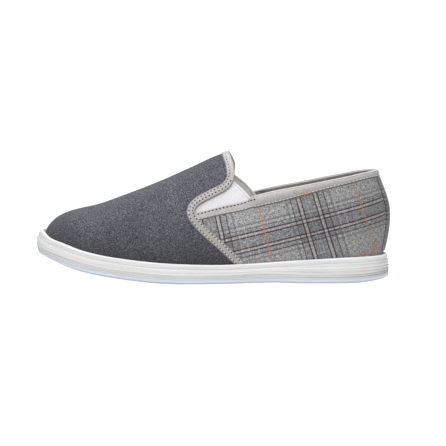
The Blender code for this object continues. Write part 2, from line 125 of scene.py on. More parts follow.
# Tapes and strip on the upper
TAPE_WIDTH = 6.3
TAPE_EDGE = 2.05
FRONT_ROW_IN = 1.25
REAR_ROW_IN = 1.35
# Painted shade down the vamp tape's middle: its share on the tapes' shade ramp, and its spread
MIDDLE_SHARE = 0.8
MIDDLE_SPREAD = 1.5
ARM_ROW_SHIFT = 0.45
TONGUE_ROW_SHIFT = 0.5
# Painted light on the vamp tape's tongue and arm: the tongue's share on the shade ramp, the arm's part of
# it
TONGUE_SHARE = 0.2
ARM_LIT = 0.6
TAPE_SINK = 1.9
TONGUE_SINK = 2.9
TONGUE_FLANGE = 4.0
FAR_TONGUE_REACH = 1.0
NEAR_TONGUE_CUT = 0.5
GORE_TAPE_CUT = 0.5
TONGUE_TAPE_GAIN = 1.0
COLLAR_PUFF = 1.3
CREASE_DROP = 1.5
CREASE_FROM = 30.0
CREASE_SOFT = 0.4
COLLAR_SINK = 2.9
COLLAR_FLANGE = 0.85
COLLAR_START_X = -14.5
COLLAR_FOLD = (36.0, 48.0)
BACK_STRIP_WIDTH = 27.0
STRIP_STRETCH = 1.04
STRIP_LOW_ANGLE = 0.012
STRIP_UNDER_TAPE = 0.8
STRIP_EDGE_POWER = 24
TAPE_TUCK = 1.0
END_HEIGHT = 0.55
END_REACH = 5.0
FACE_HEIGHT = 0.1
CREASE_SLOPE = 1.4
RIDGE_CLIMB = 1.0

# Heights, depths, lengths and angles over which the tapes change
CROWN_TURN = (84.0, 95.0)
CROWN_ANGLES = (0.95, 1.5)
SINK_RISE = (49.0, 56.0)
GORE_CUT_RISE = (52.0, 62.0)
GAIN_RISE = (80.0, 90.0)
FOLD_RISE = (86.0, 93.0)
ARM_RISE = (50.0, 58.0)
ROW_RISE = (78.0, 88.0)
TONGUE_RISE = (78.0, 96.0)
SEAM_HOLES_RISE = (42.0, 54.0)
TONGUE_HOLES_RISE = (80.0, 88.0)
PUFF_DEPTHS = (5.0, 9.0)
ROLL_START = (27.0, 38.0)

# Elastic panels and the hem of their free edge
INNER_GORE_RISE = 2.2
OUTER_GORE_BOW = 0.9
INNER_GORE_BOW = 1.6
BOW_POWER = 4
GORE_CLIMB = 30.0
HEM_BEAD = 0.32
HEM_MIDDLE = 0.7
HEM_WIDTH = 0.75
HEM_GROOVE = 0.22
HEM_END = 2.0
HEM_GROOVE_WIDTH = 0.3
HEM_LINE = 0.28
HEM_COVER = 0.55
HEM_SHADE = (0.38, 0.38, 0.43)

# Painted shade of the canvas by its climb from the sole, a share of the height over which it fades, with a
# thin brown line at the lip
CANVAS_SHADE_HEIGHT = 80.0
CANVAS_SHADES = (
    (0.0, (0.74, 0.44, 0.36)),
    (0.008, (0.52, 0.46, 0.45)),
    (0.02, (0.47, 0.467, 0.47)),
    (0.08, (0.49, 0.487, 0.49)),
    (0.19, (0.62, 0.617, 0.62)),
    (0.38, (0.78, 0.777, 0.78)),
    (0.62, grey(0.9)),
    (1.0, grey(1.0)),
)

# Painted light and shade of the canvas along the vamp, a share of its length from the toe: lightest at the
# toe
VAMP_REACH = 140.0
VAMP_SHADES = (
    (0.0, grey(1.0)),
    (0.22, (0.99, 0.99, 1.0)),
    (0.42, (0.86, 0.86, 0.865)),
    (1.0, (0.735, 0.73, 0.745)),
)

# Sewing
STITCH_PITCH = 2.9
STITCH_LENGTH = 1.75
THREAD_RADIUS = 0.27
HOLE_LENGTH = 0.8
HOLE_WIDTH = 0.64
HOLE_LIFT = 0.18
SEAM_HOLE_SIZE = 0.85
TONGUE_HOLE_SIZE = 0.75
LOOSE_YARN = (68.5, 75.0)
YARN_LIFT = 0.9
YARN_TURN = 1.15
YARN_STEP = 0.7
YARN_UP = 0.1
YARN_OUT = 0.25
YARN_LENGTH = 0.98
YARN_RADIUS = 0.34
THREAD_SIDES = 6
THREAD_SINK = 0.9
HOLE_SIDES = 8
HOLE_DISH = 0.05
NEARBY = 0.5
VAMP_ROW_END = 2.0
FRONT_ROW_OUT = 0.84
FRONT_ROW_TOP = 97.0
REAR_ROW_OUT = 0.86
REAR_ROW_TOP = 80.0
COLLAR_ROW_END = 4.0
COLLAR_ROW_UP = 0.8
COLLAR_ROW_OUT = 0.1
COLLAR_STITCH = 2.1
COLLAR_THREAD = 0.37
COLLAR_HOLE_OUT = 0.62
COLLAR_HOLES_START = 3.5
COLLAR_HOLES_END = 34.3
STRIP_X = 135.0
STRIP_ROWS_IN = (1.2, 5.0)
STRIP_ROW_LOW = 0.04
STRIP_ROW_TOP = 0.5
STRIP_ROW_END = 0.5
STRIP_ROW_STEPS = 200
STRIP_PITCH = 2.2
STRIP_STITCH = 1.7
STRIP_THREAD = 0.2

# Shape of a stitch along its half length: place and girth
THREAD_SHAPE = ((-1.0, 0.25), (-0.8, 0.8), (-0.35, 1.0), (0.35, 1.0), (0.8, 0.8), (1.0, 0.25))

# Spine of the last, where the sections' arches meet
HEEL_CENTRE_X = 103.0
TOE_CENTRE_X = -95.0
HEEL_CENTRE_Y = -1.7
TOE_CENTRE_Y = 4.5
SWELL_END = 0.72

# Fineness of the meshes
PLAN_STEPS = 40
HEEL_STEPS = 34
MID_STEPS = 132
TOE_STEPS = 36
ARCH_STEPS = 40
SIDE_STEPS = 5
BAND_STEPS = 3
PATH_STEP = 1.1
LINE_STEPS = 60
CROWN_STEPS = 7
GORE_ROWS = 49
GORE_COLUMNS = 40
GORE_CROWDING = 1.6
STRIP_ROWS = 61
STRIP_COLUMNS = 41
HALVINGS = 30

# Outline of the last's bottom edge in plan, heel to toe along the outer side and back
PLAN = table("place x y", (
    ("heel back", 135.6, -1.7),
    ("heel outer corner", 126.0, -24.0),
    ("heel outer side", 102.0, -33.5),
    ("waist outer side", 48.0, -35.2),
    ("arch outer side", 6.0, -40.5),
    ("ball outer side", -35.0, -45.9),
    ("forefoot outer side", -72.0, -43.2),
    ("toe outer corner", -108.0, -31.5),
    ("toe outer round", -125.0, -16.0),
    ("toe tip", -133.3, 4.5),
    ("toe inner round", -125.8, 24.0),
    ("toe inner corner", -108.5, 36.2),
    ("forefoot inner side", -82.0, 43.8),
    ("ball inner side", -53.0, 45.8),
    ("arch inner side", -14.0, 38.5),
    ("waist inner side", 27.0, 30.0),
    ("heel inner front", 62.0, 28.5),
    ("heel inner side", 102.0, 30.0),
    ("heel inner corner", 126.0, 20.5),
))

# Heights along the sole: its underside, the lip of its cup, and how far its side stands out
SOLE = table("x bottom lip flare", (
    (-133.0, 18.9, 37.0, 7.4),
    (-126.0, 16.6, 32.2, 6.4),
    (-115.0, 12.9, 29.6, 5.2),
    (-102.0, 9.0, 25.5, 4.6),
    (-84.0, 5.7, 21.8, 4.2),
    (-64.0, 3.1, 19.1, 4.2),
    (-42.0, 0.9, 16.9, 4.2),
    (-22.0, 0.1, 15.7, 4.2),
    (4.0, 0.0, 14.9, 4.2),
    (28.0, 0.4, 15.6, 4.2),
    (46.0, 0.7, 16.7, 4.2),
    (72.0, 0.0, 18.4, 4.2),
    (108.0, 0.1, 20.3, 4.3),
    (136.0, 2.4, 20.8, 4.6),
))

# Sections of the last: height of its ridge, power of the arch across and up, swell of the wall
LAST = table("x ridge across up swell", (
    (-133.0, 48.7, 5.0, 1.35, 0.0),
    (-122.0, 51.8, 4.3, 1.45, 0.0),
    (-110.0, 54.6, 3.4, 1.6, 0.2),
    (-93.0, 58.4, 2.8, 1.75, 0.5),
    (-73.0, 65.4, 2.5, 1.85, 0.8),
    (-45.0, 76.3, 2.3, 1.95, 1.2),
    (-16.0, 89.2, 2.2, 2.05, 1.5),
    (3.0, 98.0, 2.15, 2.15, 1.6),
    (14.0, 101.4, 2.15, 2.2, 1.6),
    (40.0, 106.0, 2.3, 2.3, 1.8),
    (75.0, 112.0, 2.5, 2.5, 2.8),
    (103.0, 115.0, 2.55, 2.55, 3.8),
    (136.0, 116.0, 2.6, 2.6, 5.3),
))

# Side of the cup from its bottom joint up: height as a share of the side, set in from the flare
CUP_SIDE = table("place heel_share fore_share heel_in fore_in", (
    ("joint", 0.0, 0.0, 0.4, 0.4),
    ("band edge", 0.045, 0.05, 0.4, 0.4),
    ("groove over band", 0.07, 0.08, 1.1, 0.7),
    ("low rib", 0.11, 0.13, 0.1, 0.1),
    ("groove over low rib", 0.17, 0.21, 0.8, 0.8),
    ("second rib", 0.22, 0.3, 0.0, 0.0),
    ("groove over second rib", 0.3, 0.41, 0.8, 0.8),
    ("third rib", 0.37, 0.5, 0.0, 0.2),
    ("groove over third rib", 0.45, 0.53, 0.9, 0.2),
    ("fourth rib", 0.52, 0.56, 0.2, 0.2),
    ("groove over fourth rib", 0.6, 0.59, 1.0, 0.3),
    ("top rib", 0.67, 0.62, 0.5, 0.4),
    ("groove under lip", 0.745, 0.68, 1.8, 1.7),
    ("lip lower edge", 0.79, 0.74, 1.3, 1.3),
    ("lip face", 0.92, 0.87, 1.3, 1.3),
))

# Side of the outsole: height over its underside, set in from the flare
OUTSOLE_SIDE = table("place height set_in", (
    ("tread edge", 0.0, 2.6),
    ("bevel", 0.8, 1.0),
    ("band low", 1.8, 0.4),
    ("band top", 3.0, 0.4),
    ("joint", OUTSOLE_THICKNESS, 0.45),
))

# Middle of the tape on the vamp's back edge, seen from the side, sole to tongue
VAMP_EDGE = table("place x z", (
    ("under the lip", 25.0, 11.0),
    ("sole", 20.1, 16.6),
    ("seam low", 6.6, 29.6),
    ("seam high", -5.6, 40.3),
    ("below notch", -15.2, 51.0),
    ("notch", -17.0, 57.0),
    ("over notch", -13.4, 63.0),
    ("gore top middle", -2.6, 69.3),
    ("gore top rear", 9.2, 75.5),
    ("tongue corner", 13.4, 81.2),
    ("tongue side", 14.1, 90.0),
    ("tongue shoulder", 12.1, 96.4),
    ("tongue top", 9.5, 103.0),
    ("over the tongue", 9.0, 110.0),
))

# Top edge of the quarter and collar, notch to heel, with the depth of its tape
COLLAR = table("x top tape", (
    (-17.0, 53.8, 5.6),
    (6.0, 59.6, 6.0),
    (28.0, 65.0, 6.6),
    (30.0, 67.5, 8.6),
    (35.0, 69.0, 9.5),
    (50.0, 72.5, 9.6),
    (70.0, 76.3, 8.0),
    (101.0, 82.5, 6.2),
    (124.0, 86.9, 5.3),
    (146.0, 89.4, 5.1),
))

# Lower and upper sides of the elastic panel seen from the side, notch to free edge
GORE_LOWER = table("place x z", (
    ("before notch", -22.0, 53.5),
    ("below notch", -14.0, 49.0),
    ("under the quarter", 6.0, 54.2),
    ("under the collar tape", 29.0, 60.4),
    ("free edge", 34.6, 61.4),
))
GORE_UPPER = table("place x z", (
    ("before notch", -22.4, 57.0),
    ("over notch", -17.5, 67.5),
    ("under the vamp", 0.0, 77.0),
    ("under the tongue", 9.0, 82.0),
    ("free edge", 13.6, 82.4),
))

# Loop across the vamp's tape: share of its half width, set over, height, share of sink and of flange
VAMP_LOOP = table("place half over height sink flange", (
    ("front selvedge", -1.0, -0.4, -0.1),
    ("front crease", -1.0, -0.35, 0.07),
    ("front foot", -1.0, 0.02, 0.07),
    ("front side", -1.0, 0.1, 0.4),
    ("front shoulder", -1.0, 0.4, 0.85),
    ("front border", -1.0, 0.7, 0.94),
    ("front row", -1.0, FRONT_ROW_IN, 0.78),
    ("front swell", -0.22, 0.0, 1.05),
    ("middle", 0.0, 0.0, 1.1),
    ("rear swell", 0.2, 0.0, 1.05),
    ("rear row", 1.0, -REAR_ROW_IN, 0.8),
    ("rear border", 1.0, -0.75, 0.93),
    ("rear shoulder", 1.0, -0.45, 0.82),
    ("rear side", 1.0, -0.12, 0.4),
    ("rear middle", 1.0, 0.0, -0.1, 0.5),
    ("rear turn", 1.0, -0.2, -0.1, 0.95),
    ("inner turn", 1.0, -0.6, -0.2, 1.0),
    ("flange low", 1.0, -0.7, -0.2, 1.0, 1.0),
    ("flange high", 1.0, -0.7, -0.1, 0.75, 1.0),
    ("inner slot", 1.0, -1.0, -0.1, 0.75),
    ("under rear edge", 1.0, -1.05, -0.1),
))

# Loop across the collar's tape: share of its depth, set down, height, share of sink and of flange
COLLAR_LOOP = table("place half over height sink flange", (
    ("lower selvedge", 1.0, 0.45, -0.1),
    ("lower crease", 1.0, 0.4, 0.07),
    ("lower foot", 1.0, 0.0, 0.07),
    ("lower side", 1.0, -0.1, 0.45),
    ("lower shoulder", 1.0, -0.4, 0.78),
    ("lower border", 1.0, -0.75, 0.88),
    ("lower row", 1.0, -1.3, 0.72),
    ("low swell", 0.68, 0.0, 1.06),
    ("full swell", 0.5, 0.0, 1.22),
    ("high swell", 0.36, 0.0, 1.2),
    ("under the crease", 0.0, 1.85, 1.08),
    ("crease", 0.0, 1.5, 0.6),
    ("over the crease", 0.0, 1.15, 0.98),
    ("roll outside", 0.0, 0.55, 0.8),
    ("roll shoulder", 0.0, 0.14, 0.2),
    ("roll top", 0.0, -0.05, 0.0, 0.35),
    ("roll inner shoulder", 0.0, 0.1, 0.0, 0.8),
    ("roll inside", 0.0, 0.6, -0.1, 1.0),
    ("flange low", 0.0, 0.8, -0.15, 1.0, 1.0),
    ("flange high", 0.0, 0.8, -0.1, 0.75, 1.0),
    ("inner slot", 0.0, 1.4, -0.1, 0.75),
    ("under the roll's edge", 0.0, 1.4, -0.1),
))

# Soft troughs and ridges of the canvas seen from the side: ends, width, and depth with ridges above zero
CREASES = table("place side x0 z0 x1 z1 width depth", (
    ("flex trough outer", OUTER, -58.0, 30.0, -40.0, 58.0, 9.0, -0.5),
    ("flex roll outer", OUTER, -44.0, 28.0, -28.0, 54.0, 8.0, 0.4),
    ("toe dimple outer", OUTER, -96.0, 36.0, -84.0, 44.0, 10.0, -0.35),
    ("quarter hollow outer", OUTER, 50.0, 44.0, 86.0, 54.0, 14.0, -0.7),
    ("heel pinch outer", OUTER, 100.0, 32.0, 116.0, 38.0, 8.0, -0.4),
    ("flex trough inner", INNER, -62.0, 30.0, -44.0, 58.0, 9.0, -0.5),
    ("flex roll inner", INNER, -46.0, 28.0, -30.0, 56.0, 8.0, 0.4),
    ("arch hollow inner", INNER, 18.0, 34.0, 62.0, 42.0, 13.0, -0.8),
    ("quarter hollow inner", INNER, 56.0, 52.0, 88.0, 60.0, 13.0, -0.5),
))

# Check of the quarter: lines across one repeat, their places and widths, and how much they cover
BROWN = (0.044, 0.013, 0.010)
SLATE = (0.115, 0.122, 0.140)
ORANGE = (0.57, 0.205, 0.09)
PALE = grey(0.56)
WARP_REPEAT = 86.8
WARP_START = 51.35
WARP_LEAN = 0.251
WARP_SPREAD = 0.00095
STRIP_WARP = WARP_START + WARP_REPEAT + 42.4
STRIP_WEFT = 1.2
UPRIGHT_ROUNDS = 12
WARP_DARK = table("place at width colour cover", (
    ("slate before", 24.15, 1.3, SLATE, 0.6),
    ("thin before", 28.35, 0.65, BROWN, 0.85),
    ("first brown", 33.65, 0.9, BROWN, 1.0),
    ("second brown", 37.25, 0.9, BROWN, 1.0),
    ("third brown", 48.75, 0.9, BROWN, 1.0),
    ("fourth brown", 52.45, 0.9, BROWN, 1.0),
    ("thin after", 57.95, 0.65, BROWN, 0.85),
    ("slate after", 62.75, 1.3, SLATE, 0.6),
))
WARP_LIGHT = table("place at width colour cover", (
    ("orange", 0.0, 0.95, ORANGE, 0.75),
    ("first pair", 35.45, 1.4, PALE, 0.25),
    ("band thread", 41.55, 0.5, PALE, 0.3),
    ("second band thread", 44.15, 0.5, PALE, 0.26),
    ("second pair", 50.6, 1.5, PALE, 0.25),
    ("square thread", 64.95, 0.6, PALE, 0.32),
    ("second square thread", 70.55, 0.6, PALE, 0.3),
    ("third square thread", 78.55, 0.6, PALE, 0.26),
))
WEFT_REPEAT = 60.5
WEFT_START = -4.55
WEFT_RISE = 0.222
WEFT_BEND = 0.00022
WEFT_DARK = table("place at width colour cover", (
    ("slate low", 15.9, 1.2, SLATE, 0.6),
    ("thin low", 19.4, 0.65, BROWN, 0.85),
    ("first brown", 23.2, 0.9, BROWN, 1.0),
    ("second brown", 26.05, 0.9, BROWN, 1.0),
    ("third brown", 34.5, 0.9, BROWN, 1.0),
    ("fourth brown", 37.5, 0.9, BROWN, 1.0),
    ("thin high", 40.9, 0.6, BROWN, 0.6),
    ("slate high", 44.3, 1.2, SLATE, 0.6),
))
WEFT_LIGHT = table("place at width colour cover", (
    ("orange", -2.0, 0.95, ORANGE, 0.75),
    ("first pair", 24.6, 1.0, PALE, 0.25),
    ("second pair", 36.0, 1.1, PALE, 0.25),
    ("square thread", 42.6, 0.7, PALE, 0.35),
    ("second square thread", 50.0, 0.5, PALE, 0.26),
    ("third square thread", 8.0, 0.5, PALE, 0.24),
))
WARP_BANDS = table("start end shade", (
    (28.55, 33.55, (0.80, 0.81, 0.84)),
    (37.55, 48.15, (0.66, 0.675, 0.705)),
    (51.95, 57.95, (0.80, 0.81, 0.84)),
))
WEFT_BANDS = table("start end shade", (
    (18.4, 22.7, (0.76, 0.79, 0.83)),
    (25.4, 34.2, (0.68, 0.69, 0.72)),
    (37.4, 40.4, (0.78, 0.80, 0.84)),
))

# Soft edges of the check's lines and bands
LINE_SOFT = 0.25
BAND_SOFT = 0.6

# Tones of the cloths by their grain, and painted shade on a tape by its distance from an edge or crease, a
# share of its width
HEATHER_TONES = (
    (0.35, (0.020, 0.0207, 0.0268)),
    (0.5, (0.0935, 0.0955, 0.118)),
    (0.65, (0.259, 0.266, 0.306)),
)
CANVAS_CAST = ((0.3, grey(0.86)), (0.7, grey(1.12)))
GROUND_TONES = ((0.4, (0.055, 0.055, 0.057)), (0.5, (0.29, 0.29, 0.292)), (0.6, (0.73, 0.728, 0.722)))
BROKEN_TONES = ((0.3, grey(0.72)), (0.6, grey(1.0)))
TAPE_TONES = ((0.34, (0.33, 0.317, 0.307)), (0.5, (0.41, 0.395, 0.382)), (0.66, (0.49, 0.474, 0.462)))
FOLD_TONES = ((0.0, grey(0.3)), (0.02, grey(0.45)), (0.08, grey(0.8)), (0.3, grey(1.0)))

# Pitch of the weaves, scales that draw out the check's slubs and the rubber's streaks, and shares of grain
CANVAS_PITCH = 1.1
CHECK_PITCH = 1.3
TWILL_PITCH = 1.0
TWILL_SLOPE = 1.2
GORE_PITCH = 1.25
LINING_PITCH = 1.2
SLUB_SCALE = (1.5, 0.36)
STREAK_SCALE = (0.02, 0.9, 1.0)
GRAIN_COUNT = 3.0
FINE_SHARE = 0.8
SLUB_SHARE = 0.2
PORE_SHARE = 0.3

# Tone of the check along the quarter, a share of its length to the heel, with painted shade toward the heel
HEEL_REACH = 150.0
CHECK_SHADES = (
    (0.15, grey(0.81)),
    (0.6, grey(0.67)),
    (0.75, (0.61, 0.608, 0.605)),
    (1.0, (0.555, 0.555, 0.565)),
)

# Painted highlight on the collar tape's rolled rim and painted shade down it, a share of its depth
PLAIN_SHARE = 0.34
COLLAR_SHADES = (
    (0.0, grey(1.7)),
    (0.12, grey(1.45)),
    (0.22, grey(1.2)),
    (0.34, grey(1.0)),
    (0.6, grey(0.8)),
    (0.85, grey(0.69)),
    (1.0, grey(0.71)),
)

# Painted light and shade up the cup's side, with shade in the groove under its lip, and of the band below
# it
CUP_BANDS = (
    (0.0, (0.70, 0.735, 0.80)),
    (0.055, (0.70, 0.735, 0.80)),
    (0.08, (0.66, 0.655, 0.65)),
    (0.2, (0.67, 0.665, 0.66)),
    (0.27, (0.735, 0.73, 0.725)),
    (0.33, (0.755, 0.75, 0.745)),
    (0.38, (0.725, 0.72, 0.715)),
    (0.45, (0.79, 0.785, 0.78)),
    (0.51, (0.845, 0.84, 0.835)),
    (0.57, (0.78, 0.775, 0.77)),
    (0.63, (0.81, 0.805, 0.80)),
    (0.69, (0.735, 0.735, 0.745)),
    (0.74, (0.79, 0.79, 0.80)),
    (0.82, (0.735, 0.74, 0.76)),
    (0.87, (0.755, 0.76, 0.78)),
    (0.93, (0.88, 0.88, 0.89)),
    (1.0, grey(1.0)),
)
BAND_SHADES = (
    (0.0, (0.62, 0.66, 0.72)),
    (0.25, (0.70, 0.74, 0.80)),
    (0.5, grey(1.0)),
)

# Camera, with the place of the photograph's middle against the point it looks at
VIEW_ELEVATION = 4.2
VIEW_DISTANCE = 1550.0
VIEW_HEIGHT = 50.0
IMAGE_PIXELS = 446.0
PIXEL_SIZE = 0.7955
SENSOR = 36.0
MIDDLE_PIXEL_X = 212.65
MIDDLE_PIXEL_Y = 215.8
VIEW_ROLL = 0.12
VIEW_END = 100.0

# Light of the studio's dome by height, from the white horizon to the soft light overhead
DOME_STRENGTH = 1.8
DOME = ((0.0, 0.6), (0.04, 0.6), (0.1, 0.12), (0.5, 0.18), (0.8, 0.75), (1.0, 1.25))
FLOOR_GLOW = 0.95
FLOOR_REACH = 12000.0
FLOOR_DROP = 0.3
LAMP_SIZE = 0.9
LAMP_POWER = 15.0
LAMP_PLACE = (-0.2, -1.5, 0.95)
LAMP_TILT = 59.0
LAMP_TURN = -7.6

# Sockets of Blender's mix node that hold colours
MIX_FACTOR = 0
MIX_FIRST = 6
MIX_SECOND = 7
MIX_RESULT = 2

Station = namedtuple("Station", "x y out_x out_y")


def along(rows, name, x):
    """Value of a table's column at length x, held level beyond its first and last rows."""
    return steady_curve(*columns_of(rows, "x " + name).T, x)


def between(t, first, second, slope_in, slope_out):
    """Smooth curve between two values with the slopes at its ends, at a share t of the way."""
    rise = t * t * (3.0 - 2.0 * t)
    bend = t * (1.0 - t) ** 2 * slope_in + t * t * (t - 1.0) * slope_out
    return first * (1.0 - rise) + second * rise + bend


def steady_curve(places, values, x):
    """Smooth curve through values at their places that doesn't overshoot them."""
    secants = np.diff(values) / np.diff(places)
    before = secants[:-1]
    after = secants[1:]
    total = np.where(before * after > 0.0, before + after, 1.0)
    inner = np.where(before * after > 0.0, 2.0 * before * after / total, 0.0)
    slopes = np.concatenate([secants[:1], inner, secants[-1:]])
    x = np.clip(x, places[0], places[-1])
    i = np.clip(np.searchsorted(places, x) - 1, 0, len(places) - 2)
    span = places[i + 1] - places[i]
    return between((x - places[i]) / span, values[i], values[i + 1], span * slopes[i], span * slopes[i + 1])


def smooth_step(low, high, value):
    """Share that rises smoothly from 0 at low to 1 at high."""
    t = np.clip((value - low) / (high - low), 0.0, 1.0)
    return t * t * (3.0 - 2.0 * t)


def hump(value, width):
    """Share that falls softly from 1 at zero to nothing, over a width."""
    return np.exp(-((value / width) ** 2))


def unit(vectors):
    """Vectors brought to length one."""
    return vectors / np.linalg.norm(vectors, axis=-1)[..., None]


def spline(points, closed, steps):
    """Smooth curve through points in a plane."""
    first = points[-1:] if closed else 2.0 * points[:1] - points[1:2]
    last = points[:1] if closed else 2.0 * points[-1:] - points[-2:-1]
    before = np.vstack([first, points[:-1]])
    after = np.vstack([points[1:], last])
    back = np.linalg.norm(points - before, axis=1)
    ahead = np.linalg.norm(after - points, axis=1)
    tangents = (after - before) / (back + ahead)[:, None]
    t = (np.arange(steps) / steps)[:, None]
    curve = []
    for i in range(len(points) if closed else len(points) - 1):
        j = (i + 1) % len(points)
        curve.append(between(t, points[i], points[j], ahead[i] * tangents[i], ahead[i] * tangents[j]))
    if not closed:
        curve.append(points[-1:])
    return np.vstack(curve)


def lengths_along(points):
    """Distance from the first point to each point of a line."""
    return np.append(0.0, np.cumsum(np.linalg.norm(np.diff(points, axis=0), axis=1)))


def resampled(rows, lengths, spots):
    """Rows of values at spots between the given lengths."""
    return np.column_stack([np.interp(spots, lengths, values) for values in rows.T])


def plan_ring():
    """Ring round the last's bottom edge from the heel tip along the outer side, with its outward way."""
    curve = spline(columns_of(PLAN, "x y"), True, PLAN_STEPS)
    tangent = unit(np.roll(curve, -1, axis=0) - np.roll(curve, 1, axis=0))
    rows = np.column_stack([curve, -tangent[:, 1], tangent[:, 0]])
    rows = np.roll(rows, -int(np.argmax(curve[:, 0])), axis=0)
    return np.vstack([rows, rows[:1]])


# Ring round the last, the run to each of its points, the whole run, and the number of its toe point
RING = plan_ring()
RUN = lengths_along(RING[:, :2])
ROUND = RUN[-1]
TOE = int(np.argmin(RING[:, 0]))


def station(run):
    """Station of the last at a run along its ring."""
    place = np.mod(run, ROUND)
    return Station(*[np.interp(place, RUN, values) for values in RING.T])


def run_at(x, side):
    """Run along the ring of the station at length x on a side."""
    outer = np.interp(-np.asarray(x), -RING[: TOE + 1, 0], RUN[: TOE + 1])
    inner = np.interp(x, RING[TOE:, 0], RUN[TOE:])
    return np.where(np.asarray(side) == OUTER, outer, inner)


def ring_runs():
    """Runs of the fine stations: heel tip, outer side, toe tip, inner side, level at midfoot."""
    middle = np.linspace(HEEL_CENTRE_X, TOE_CENTRE_X, MID_STEPS + 1)
    outer = run_at(middle, OUTER)
    inner = run_at(middle, INNER)
    heel = np.linspace(0.0, outer[0], HEEL_STEPS + 1)
    toe = np.linspace(outer[-1], RUN[TOE], TOE_STEPS + 1)
    far_toe = np.linspace(RUN[TOE], inner[-1], TOE_STEPS + 1)
    far_heel = np.linspace(inner[0], ROUND, HEEL_STEPS + 1)
    near = [heel[:-1], outer[:-1], toe[:-1]]
    far = [far_toe[:-1], inner[::-1][:-1], far_heel[:-1]]
    return np.concatenate(near + far)


# Runs of the fine stations, and their lengths on the shoe
RUNS = ring_runs()
RUN_X = station(RUNS).x


def spine(x):
    """Middle of the section at length x, held at the centres of the heel and the toe."""
    centre_x = np.clip(x, TOE_CENTRE_X, HEEL_CENTRE_X)
    share = (HEEL_CENTRE_X - centre_x) / (HEEL_CENTRE_X - TOE_CENTRE_X)
    return centre_x, HEEL_CENTRE_Y + share * (TOE_CENTRE_Y - HEEL_CENTRE_Y)


def swell_shape(rise):
    """Share of the wall's swell at a share of its height, none at the lip and near the collar."""
    wave = np.sin(math.pi * np.minimum(rise, SWELL_END) / SWELL_END)
    return np.where(rise < SWELL_END / 2.0, wave, wave**2)


def last_point(run, angle):
    """Point of the last on a station's section, from the lip (0) to the ridge (a right angle)."""
    s = station(run)
    centre_x, centre_y = spine(s.x)
    reach = np.hypot(s.x - centre_x, s.y - centre_y)
    across = np.maximum(np.cos(angle), 0.0) ** (2.0 / along(LAST, "across", s.x))
    rise = np.maximum(np.sin(angle), 0.0) ** (2.0 / along(LAST, "up", s.x))
    radius = across + along(LAST, "swell", s.x) * swell_shape(rise) / reach
    x = centre_x + (s.x - centre_x) * radius
    y = centre_y + (s.y - centre_y) * radius
    lip = along(SOLE, "lip", s.x)
    return np.stack([x, y, lip + (along(LAST, "ridge", x) - lip) * rise], axis=-1)


def outward(run, angle):
    """Direction out of the last's face, turned straight up toward the ridge."""
    step = 0.4
    turn = 0.015
    held = np.clip(angle, 2.0 * turn, TOP_ANGLE - 2.0 * turn)
    ahead = last_point(run + step, held) - last_point(run - step, held)
    upward = last_point(run, held + turn) - last_point(run, held - turn)
    direction = np.cross(upward, ahead)
    direction[..., 1] *= np.clip((TOP_ANGLE - angle) / (6.0 * turn), 0.0, 1.0)
    return unit(direction)


def crease_lift(points, sides):
    """How far the soft troughs and ridges move points of the canvas outward."""
    lift = np.zeros(points.shape[:-1])
    flat = points[..., ::2]
    for row in CREASES:
        start = np.array([row.x0, row.z0])
        reach = np.array([row.x1, row.z1]) - start
        share = np.clip((flat - start) @ reach / (reach @ reach), 0.0, 1.0)
        away = np.linalg.norm(flat - start - share[..., None] * reach, axis=-1)
        lift += np.where(sides == row.side, row.depth * hump(away, row.width), 0.0)
    return lift


def side_of(run):
    """Side of the shoe that a run along the ring is on."""
    return np.where(np.mod(run, ROUND) <= RUN[TOE], OUTER, INNER)


def skin(run, angle, out):
    """Point at a distance out from the canvas's face, creases included."""
    points = last_point(run, angle)
    lift = crease_lift(points, side_of(run))
    return points + outward(run, angle) * (out + lift)[..., None]


def angle_at_height(x, z):
    """Angle on the section at length x of the point at a height."""
    lip = along(SOLE, "lip", x)
    rise = np.clip((z - lip) / (along(LAST, "ridge", x) - lip), 0.0, 1.0)
    return np.arcsin(rise ** (along(LAST, "up", x) / 2.0))


def angle_under_collar(run, drop):
    """Angle at each run of the point a drop under the collar's top edge, found by halving."""
    low = np.zeros(np.broadcast(run, drop).shape)
    high = np.full(low.shape, TOP_ANGLE)
    for _ in range(HALVINGS):
        middle = (low + high) / 2.0
        point = last_point(run, middle)
        under = point[..., 2] < along(COLLAR, "top", point[..., 0]) - drop
        low = np.where(under, middle, low)
        high = np.where(under, high, middle)
    return (low + high) / 2.0


def new_piece(name, points, faces, *materials):
    """Mesh object from points in millimetres, smooth, with its faces turned outward."""
    mesh = bpy.data.meshes.new(name)
    places = np.asarray(points, float).reshape(-1, 3) * MM
    mesh.from_pydata(places.tolist(), [], [tuple(face) for face in faces])
    body = bmesh.new()
    body.from_mesh(mesh)
    bmesh.ops.recalc_face_normals(body, faces=body.faces)
    body.to_mesh(mesh)
    body.free()
    for material in materials:
        mesh.materials.append(material)
    mesh.shade_smooth()
    piece = bpy.data.objects.new(name, mesh)
    bpy.context.scene.collection.objects.link(piece)
    return piece


def chart(piece, layer, first, second):
    """Texture coordinates of a piece, in millimetres, from two values at each of its points."""
    values = np.stack(np.broadcast_arrays(first, second), axis=-1).reshape(-1, 2)
    mesh = piece.data
    uv = mesh.uv_layers.new(name=layer)
    corners = np.zeros(len(mesh.loops), int)
    mesh.loops.foreach_get("vertex_index", corners)
    uv.data.foreach_set("uv", values.astype(float)[corners].ravel())


def place(piece, slot, *nodes):
    """Put a piece on the shoe's body and hide the solids that it stands for; the finish given to it is not
    used.
    """
    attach(piece, "root")
    if nodes:
        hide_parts(*nodes)


